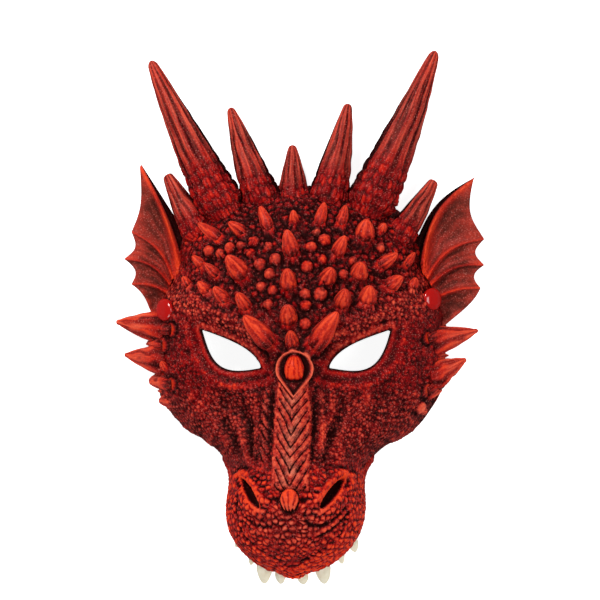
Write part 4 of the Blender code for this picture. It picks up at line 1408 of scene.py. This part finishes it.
@dataclass
class TempleFin:
    """A fin with a web stretched between its ribs, bare on the narrow side that faces the horns."""

    name: str
    ribs: tuple[Spike, ...]  # the third number is how far the rib bends
    scallops: tuple[float, ...]
    middle_z: float = 3.2
    rib: float = 0.85
    web: float = 0.42
    web_columns: int = 27
    rows: int = 96
    rib_mm: tuple[float, ...] = (0.8, 5.2, 1.6, 1.6, 1.6, 1.8)
    rib_rise: tuple[float, ...] = (0.0, 2.4, 1.7, 1.7, 1.6, 1.2)
    web_wear: float = 0.33
    scale_mm: float = 2.2

    def sheet(self) -> Sheet:
        """Works out both faces of the fin.

        Returns:
            A sheet whose rows run round the fin's thickness.
        """
        t = np.linspace(0.0, 1.0, self.rows + 1)
        last = len(self.ribs) - 2
        lines = [
            (*self.line(web, s, t), np.full(t.shape, s), np.full(t.shape, web))
            for web in range(last + 1)
            for s in np.linspace(0.0, 1.0, self.web_columns, endpoint=web == last)
        ]
        flat, gap, s, web = (np.array(column) for column in zip(*lines))
        rib, rise = np.zeros(s.shape), np.zeros(s.shape)
        for k, beside in ((0, s), (1, 1.0 - s)):
            crest = bell(beside * gap, np.array(self.rib_mm)[web + k] * (1.15 - 0.75 * t))
            rise = np.maximum(rise, crest * np.array(self.rib_rise)[web + k])
            rib = np.maximum(rib, crest)
        half = (self.web + (self.rib - self.web) * rib) * HUNDREDTH * (1.0 - 0.55 * t)
        place = (web + s) * 9.0
        striae = 0.5 + 0.5 * np.cos(place * 2.6 + 2.2 * waves(place, t * 12.0, 2.0, 3))
        dome, _ = pebbles(flat[:, :, 0], flat[:, :, 1], self.scale_mm, 0.8, 17)
        foot = step(0.30, 0.0, t)
        texture = (1.0 - rib) * (0.22 * striae + 0.20 * dome) * (1.0 - foot) + foot * 0.6 * dome
        texture += rib * (0.35 * waves(place * 3.0, t * 34.0, 1.0, 23) + 0.25 * dome)
        fade = step(0.0, 0.05, 1.0 - t)
        billow = -2.4 * np.sin(math.pi * s) * np.sin(math.pi * np.clip(t * 1.1, 0, 1))
        billow = billow * np.clip(gap / 14.0, 0, 1.4)
        middle = self.middle_z * HUNDREDTH + billow * fade
        top = middle + half + (texture + rise * (1.0 - 0.4 * t)) * fade
        upper = np.concatenate([flat, top[:, :, None]], axis=2)
        lower = np.concatenate([flat, (middle - half)[:, :, None]], axis=2)[:, ::-1]
        wear_and_shade = self.web_wear + (0.36 + 0.16 * (web < 2)) * rib + 0.12 * striae * (1.0 - rib)
        wear_and_shade += 0.14 * dome * foot
        wear_and_shade += 0.16 * step(0.72, 1.0, t) + 0.12 * waves(place, t * 9.0, 2.0, 29)
        # Painted light and shade: apart from the first, each web is darker by one rib and lighter by the
        # next.
        wear_and_shade += 0.16 * (np.where(web > 0, s, 0.5) - 0.5) * (1.0 - rib)
        painted = 1.0 - (web == 0) * step(0.55, 0.25, crest)
        tint = (0.12 * (1.0 - rib) + 0.10 * t) * painted
        wear_and_shade, plain = wear_and_shade * painted, np.zeros(wear_and_shade.shape)
        return Sheet(
            np.concatenate([upper, lower], axis=1),
            np.concatenate([wear_and_shade, plain + 0.2], axis=1),
            np.concatenate([tint, plain], axis=1),
            wraps=True,
            caps=True,
        )

    def line(self, web: int, s: float, t: np.ndarray) -> Arrays:
        """One line from root to edge, a share of the way from one rib to the next.

        Args:
            web: number of the web, which lies between the rib of that number and the next.
            s: share of the way between them.
            t: places along the line, from 0 to 1.

        Returns:
            Points in the fin's plane, and the distance between the two ribs beside each.
        """
        reach = t * (1.0 - self.scallops[web] * math.sin(math.pi * s))
        sides = []
        for root, tip, bow in self.ribs[web : web + 2]:
            along = np.subtract(tip, root)
            bend = np.array([along[1], -along[0]]) * math.copysign(bow, root[0])
            straight = np.array(root) + np.outer(reach, along)
            sides.append((straight - np.outer(np.sin(math.pi * reach), bend)) * HUNDREDTH)
        return sides[0] * (1 - s) + sides[1] * s, np.linalg.norm(sides[1] - sides[0], axis=1)

    def build(self, paint: Material) -> Object:
        """Builds the fin in the mask's paint."""
        return self.sheet().build(self.name, paint)


LEFT_FIN = TempleFin(
    "fin_left",
    (
        ((-20.4, 13.6), (-30.0, 28.6), 0.0),
        ((-22.3, 7.8), (-30.3, 28.2), 0.045),
        ((-24.0, 7.0), (-31.9, 15.9), 0.13),
        ((-24.4, 5.8), (-33.3, 10.8), 0.14),
        ((-25.0, 4.4), (-31.9, 6.0), 0.1),
        ((-26.0, 1.0), (-28.2, 0.8), 0.0),
    ),
    (0.0, 0.08, 0.12, 0.16, 0.14),
)
RIGHT_FIN = TempleFin(
    "fin_right",
    (
        ((21.6, 12.6), (33.2, 26.2), 0.12),
        ((23.4, 8.0), (32.9, 25.8), 0.14),
        ((24.2, 7.0), (34.9, 14.5), 0.15),
        ((24.9, 5.8), (34.9, 9.6), 0.14),
        ((25.6, 3.2), (34.2, 5.3), 0.08),
        ((25.6, -1.4), (27.0, -2.2), 0.0),
    ),
    (0.0, 0.1, 0.13, 0.15, -0.14),
)


@dataclass
class LipRoll:
    """The rolled lip round the muzzle's rim."""

    form: FaceForm
    radius: float = 1.05 * HUNDREDTH
    start: float = -25.5
    turn: float = -46.6
    tuck: float = 2.6
    scale_mm: float = 3.3
    rings: int = 420
    sides: int = 40

    def path(self) -> np.ndarray:
        """The line that the lip's middle follows, from one end round to the other.

        Returns:
            Evenly spaced points, with their distance from the start as a fourth value.
        """
        form, lift = self.form, self.radius * 0.7
        y = HUNDREDTH * (self.start + (self.turn - self.start) * np.sin(np.linspace(0, math.pi / 2, 40)))
        half, _, _, rim = form.station(y)
        right = np.column_stack([half - self.tuck, y, rim + lift])
        front = np.array([[0.0, form.places[0] + self.radius * 0.5, form.values[0, 3] + lift]])
        path = np.concatenate([right, front, right[::-1] * MIRROR])
        for _ in range(6):
            path[1:-1] = 0.5 * path[1:-1] + 0.25 * (path[:-2] + path[2:])
        steps = np.concatenate([[0.0], np.cumsum(np.linalg.norm(np.diff(path, axis=0), axis=1))])
        at = np.linspace(0.0, steps[-1], self.rings + 1)
        return np.stack([*(np.interp(at, steps, path[:, k]) for k in range(3)), at], axis=1)

    def build(self, paint: Material) -> Object:
        """Builds the lip.

        Args:
            paint: the mask's paint.

        Returns:
            The lip.
        """
        path, at = np.split(self.path(), [3], axis=1)
        along = unit(np.gradient(path, axis=0))
        side = unit(np.cross(along, UP))
        out = np.cross(side, along)
        a = round_angles(self.sides) + np.zeros_like(at)
        dome, share = pebbles(a * self.radius, at + np.zeros_like(a), self.scale_mm, 0.4, 51)
        ends = np.minimum(step(0.0, 8.0, at), step(0.0, 8.0, at[-1] - at))
        radius = (self.radius + 0.5 * (dome * (0.6 + 0.6 * share) - 0.4)) * (0.25 + 0.75 * ends)
        ring = np.cos(a)[:, :, None] * side[:, None] + np.sin(a)[:, :, None] * out[:, None]
        front = bell(at / at[-1] - 0.5, 0.28)
        # Painted light and shade: the lip's upper side is lighter and its underside darker; it is also paler
        # towards the front.
        wear_and_shade = 0.46 + 0.34 * (dome - 0.4) + 0.12 * np.sin(a) + 0.18 * front
        points = path[:, None] + radius[:, :, None] * ring
        return Sheet(points, wear_and_shade, wraps=True, caps=True).build("lip_roll", paint)


@dataclass
class Teeth(ThornSet):
    """Ivory teeth that hang from the lip."""

    form: FaceForm
    # Place across, width and length.
    teeth: tuple[Triple, ...] = (
        (-10.9, 1.1, 1.5), (-8.1, 1.4, 2.2), (-5.7, 3.0, 4.7), (-2.6, 2.1, 4.1),
        (1.6, 2.2, 4.1), (5.4, 3.0, 4.6), (8.7, 1.6, 2.4), (11.0, 2.1, 2.6),
    )
    lean: float = math.radians(38.0)
    highest: float = -33.0
    lowest: float = -50.0
    sink: Pair = (0.55, 0.42)
    spread: Pair = (0.97, 1.02)

    def thorns(self) -> Iterator[Thorn]:
        """Works out the teeth.

        Returns:
            The thorns in order.
        """
        places = np.linspace(self.highest * HUNDREDTH, self.form.places[0], 400)
        halves = self.form.station(places)[0]
        for number, (x, width, length) in enumerate(self.teeth):
            y = float(places[np.argmin(np.abs(halves - abs(x) * HUNDREDTH))]) / HUNDREDTH
            z = float(self.form.station(np.array(y * HUNDREDTH))[3]) / HUNDREDTH + self.sink[1]
            start = np.array([x * self.spread[0], y + self.sink[0], z]) * HUNDREDTH
            low = max(self.lowest, y - length * math.cos(self.lean))
            end = np.array([x * self.spread[1], low, z - length * math.sin(self.lean)]) * HUNDREDTH
            wide, name = width * HUNDREDTH, f"tooth_{number + 1}"
            yield Thorn(
                name, start, end, wide, wide, 4, flute_depth=0.03, scaly=-1.0, rings=40, sides=32,
                bulge=0.3, seed=300 + number,
            )


@dataclass
class FoamCore:
    """The bare foam behind the paint: the wall, its rim and the hollow for the wearer's face."""

    form: FaceForm
    inset: float = 2.2
    hollow_floor: float = -12.0
    eye_reach: Pair = (-14.0, 95.0)
    nostril_room: Pair = (4.4, 13.2)
    nostril_reach: Pair = (-5.3, 20.0)
    rows: int = 90
    columns: int = 64

    def block(self, name: str, inset: float, start: float, end: float, floor: float | None) -> Object:
        """A closed block under the face's outer form, moved inwards.

        Args:
            name: the object's name.
            inset: how far inside the outer form it lies.
            start: the row it starts at.
            end: the row it ends at.
            floor: the height it goes down to, or none to stop at the rim.

        Returns:
            The block.
        """
        form = self.form
        y = np.linspace(start, end, self.rows + 1)
        sines = np.sin(np.linspace(-math.pi / 2, math.pi / 2, self.columns + 1))
        half, _, _, rim = form.station(y)
        x = half[:, None] * sines
        grid_y = np.repeat(y[:, None], self.columns + 1, axis=1)
        arch = np.clip(1.0 - sines**2, 0.0, 1.0) ** form.arch_power
        z = form.skin(x, grid_y, carved=False) + np.minimum(form.relief(x, grid_y), 0.0) * arch
        rows = np.stack([x, grid_y, z], axis=2)
        inner = rows - grid_normals(rows) * inset
        inner[:, 0] = rows[:, 0] + (inset, 0.0, 0.0)
        inner[:, -1] = rows[:, -1] - (inset, 0.0, 0.0)
        inner[:, :, 1] = np.clip(inner[:, :, 1], form.places[0] + inset, form.places[-1] - inset)
        low = rim if floor is None else np.full(rim.shape, floor)
        left, right = (np.column_stack([inner[:, k, :2], low])[:, None] for k in (0, -1))
        if floor is None:
            inner[:, :, 2] = np.maximum(inner[:, :, 2], rim[:, None] + 0.02)
        return Sheet(np.concatenate([left, inner, right], axis=1), wraps=True, caps=True).build(name)

    def build(self, foam: Material) -> Object:
        """Builds the core and cuts its hollow, eye holes and nostrils.

        Args:
            foam: the bare foam's finish.

        Returns:
            The core.
        """
        form = self.form
        core = self.block("foam_core", self.inset, form.places[-1] - 0.1, form.places[0] + 4.0, None)
        end = form.hollow_end * HUNDREDTH
        cutters = [self.block("hollow", form.wall, form.places[-1], end, self.hollow_floor)]
        cutters += [self.eye_prism(side) for side in (MIRROR, np.ones(3))]
        cutters += [self.nostril_prism(side) for side in (MIRROR, np.ones(3))]
        for cutter in cutters:
            cut = core.modifiers.new("cut", "BOOLEAN")
            cut.operation = "DIFFERENCE"
            cut.solver = "EXACT"
            cut.object = cutter
        bpy.context.view_layer.update()
        mesh = bpy.data.meshes.new_from_object(core.evaluated_get(bpy.context.evaluated_depsgraph_get()))
        core.modifiers.clear()
        core.data = mesh
        for cutter in cutters:
            bpy.data.objects.remove(cutter, do_unlink=True)
        mesh.set_sharp_from_angle(angle=math.radians(40.0))
        mesh.materials.append(foam)
        return core

    def eye_prism(self, side: np.ndarray) -> Object:
        """A cutter through one eye hole, along the same outline as the painted edge.

        Args:
            side: factors that put it on the left or the right.

        Returns:
            The cutter.
        """
        outline = self.form.eye_outline(48)
        rings = np.stack([np.column_stack([outline, np.full(len(outline), z)]) for z in self.eye_reach])
        return Sheet(rings * side, wraps=True, caps=True).build("eye_cutter")

    def nostril_prism(self, side: np.ndarray) -> Object:
        """A cutter, square to the face, that makes room behind one nostril's slit.

        Args:
            side: factors that put it on the left or the right.

        Returns:
            The cutter.
        """
        form, a = self.form, round_angles(24)
        u, v = self.nostril_room[0] * np.cos(a), self.nostril_room[1] * np.sin(a)
        cos, sin = math.cos(form.nostril_turn), math.sin(form.nostril_turn)
        x = form.nostril[0] + u * cos + v * sin
        y = form.nostril[1] - u * sin + v * cos
        edge = np.column_stack([x, y, form.skin(x, y, carved=False)])
        rings = np.stack([edge + form.outwards(x, y) * reach for reach in self.nostril_reach])
        return Sheet(rings * side, wraps=True, caps=True).build("nostril_cutter")


@dataclass
class StrapRivet:
    """A two-part strap rivet through the temple: domed cap, shank and inner flange."""

    name: str
    place: Pair
    form: FaceForm
    cap: float = 7.5
    cap_edge: float = 1.4
    cap_rise: float = 3.0
    cap_rings: int = 18
    dish: float = 0.55
    shank: float = 2.5
    flange: float = 6.5
    flange_edge: float = 1.6
    rounding: float = 0.3
    gap: float = 0.3
    tilt: float = math.radians(42.0)
    sides: int = 72

    def profile(self) -> np.ndarray:
        """The rivet's half section.

        Returns:
            Radius and height, from the flange's middle round to the cap's middle.
        """
        inner, cap, flange, edge = -self.form.wall - self.gap, self.cap, self.flange, self.rounding
        low, base = inner - self.flange_edge, self.gap + self.cap_edge
        rows = [(0.01, low), (flange - edge, low), (flange, low + edge), (flange, inner - 0.2)]
        rows += [(flange - 0.2, inner), (self.shank, inner), (self.shank, self.gap), (cap - edge, self.gap)]
        rows += [(cap, self.gap + edge), (cap, base)]
        for k in range(1, self.cap_rings + 1):
            a = math.pi / 2 * k / self.cap_rings
            dish = self.dish * math.exp(-((math.cos(a) * cap / 3.4) ** 2))
            rows.append((max(cap * math.cos(a), 0.01), base + self.cap_rise * math.sin(a) - dish))
        return np.array(rows)

    def build(self, plastic: Material) -> Object:
        """Builds the rivet in its seat.

        Args:
            plastic: its finish.

        Returns:
            The rivet.
        """
        a = round_angles(self.sides)
        radius, height = np.split(self.profile(), 2, axis=1)
        points = np.stack([radius * np.cos(a), radius * np.sin(a), height + 0 * a], axis=2)
        x, y = np.array(self.place) * HUNDREDTH
        turn = np.array(Matrix.Rotation(math.copysign(self.tilt, x), 3, "Y"))
        points = points @ turn.T + np.array([x, y, float(self.form.skin(x, y))])
        obj = Sheet(points, wraps=True, caps=True).build(self.name, plastic)
        obj.data.set_sharp_from_angle(angle=math.radians(50.0))
        return obj


@dataclass
class Studio:
    """Lit floor, soft lights and the camera that looks down on the lying mask."""

    frame_mm: float = 404.4
    lens_mm: float = 400.0
    sensor_mm: float = 36.0
    yaw: float = math.radians(4.5)
    aim: Triple = (3.3, 10.9, 50.0)
    floor_z: float = -0.0004
    glow: float = 0.92
    air: float = 0.08
    # Name, place in metres, size and power.
    lamps: tuple[tuple[str, Triple, float, float], ...] = (
        ("key", (-0.45, 0.85, 1.15), 0.45, 19.0),
        ("fill", (0.85, -0.1, 1.15), 0.7, 7.0),
        ("low", (-0.2, -1.1, 0.85), 0.6, 5.5),
    )

    def build(self) -> None:
        """Sets up the floor, the lamps, the world and the camera."""
        scene = bpy.context.scene
        scene.view_settings.view_transform = "Standard"
        self.lay_floor()
        world = bpy.data.worlds.new("studio_world")
        world.use_nodes = True
        backdrop = world.node_tree.nodes["Background"]
        backdrop.inputs["Color"].default_value = WHITE
        backdrop.inputs["Strength"].default_value = self.air
        scene.world = world
        for name, place, size, power in self.lamps:
            light = bpy.data.lights.new(name, "AREA")
            light.size = size
            light.energy = power
            lamp = bpy.data.objects.new(name, light)
            lamp.location = place
            lamp.rotation_euler = Vector(place).to_track_quat("Z", "Y").to_euler()
            scene.collection.objects.link(lamp)
        self.set_camera()

    def lay_floor(self) -> None:
        """Lays a plain white floor that glows enough to stay pale."""
        bpy.ops.mesh.primitive_plane_add(size=8.0, location=(0.0, 0.0, self.floor_z))
        floor = bpy.context.object
        floor.name = "studio_floor"
        board = STUDIO_BOARD.build()
        shader = next(n for n in board.node_tree.nodes if n.type == "BSDF_PRINCIPLED")
        shader.inputs["Emission Color"].default_value = WHITE
        shader.inputs["Emission Strength"].default_value = self.glow
        floor.data.materials.append(board)
        floor.visible_glossy = False

    def set_camera(self) -> None:
        """Sets a long-lens camera over the mask, turned a little to one side."""
        camera = bpy.data.cameras.new("camera")
        camera.lens = self.lens_mm
        camera.sensor_width = self.sensor_mm
        camera.clip_end = 20.0
        viewer = bpy.data.objects.new("camera", camera)
        distance = self.lens_mm / self.sensor_mm * self.frame_mm * METRES
        away = Vector((math.sin(self.yaw), 0.0, math.cos(self.yaw))) * distance
        viewer.location = Vector(self.aim) * METRES + away
        viewer.rotation_euler = (0.0, self.yaw, 0.0)
        bpy.context.collection.objects.link(viewer)
        bpy.context.scene.camera = viewer


def own(pieces: Iterable[Object], slot: Slot, node: str) -> None:
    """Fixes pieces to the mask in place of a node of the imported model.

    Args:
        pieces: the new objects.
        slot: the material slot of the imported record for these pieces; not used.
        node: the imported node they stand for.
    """
    for piece in pieces:
        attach(piece, BODY)
        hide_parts(node)
        LOG.info("%s: %d faces", piece.name, len(piece.data.polygons))


def main() -> None:
    """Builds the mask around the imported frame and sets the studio."""
    logging.basicConfig(level=logging.INFO, format="%(name)s %(message)s")
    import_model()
    form = FaceForm()
    face = CarvedFace(form)
    finishes = PaintedFoam(), BARE_FOAM, TOOTH_PAINT, RIVET_PLASTIC
    paint, foam, ivory, plastic = (finish.build() for finish in finishes)
    own(face.build(paint), Slot.FOAM, SHELL_NODE)
    own([NosePlate(form).build(paint), FoamCore(form).build(foam)], Slot.FOAM, SHELL_NODE)
    for growth in (BrowThorns(face), CrownHorns(), CheekSpikes()):
        own(growth.build(paint), Slot.FOAM, SHELL_NODE)
    own([edge.build(paint) for edge in (LEFT_FIN, RIGHT_FIN, LipRoll(form))], Slot.FOAM, SHELL_NODE)
    own(Teeth(form).build(ivory), Slot.FOAM, SHELL_NODE)
    for name, place in (("left", (-24.9, 1.2)), ("right", (25.0, 3.2))):
        rivet = StrapRivet(f"rivet_{name}", place, form).build(plastic)
        own([rivet], Slot.RIVET, f"strap_rivet_{name}")
    Studio().build()


if __name__ == "__main__":
    main()
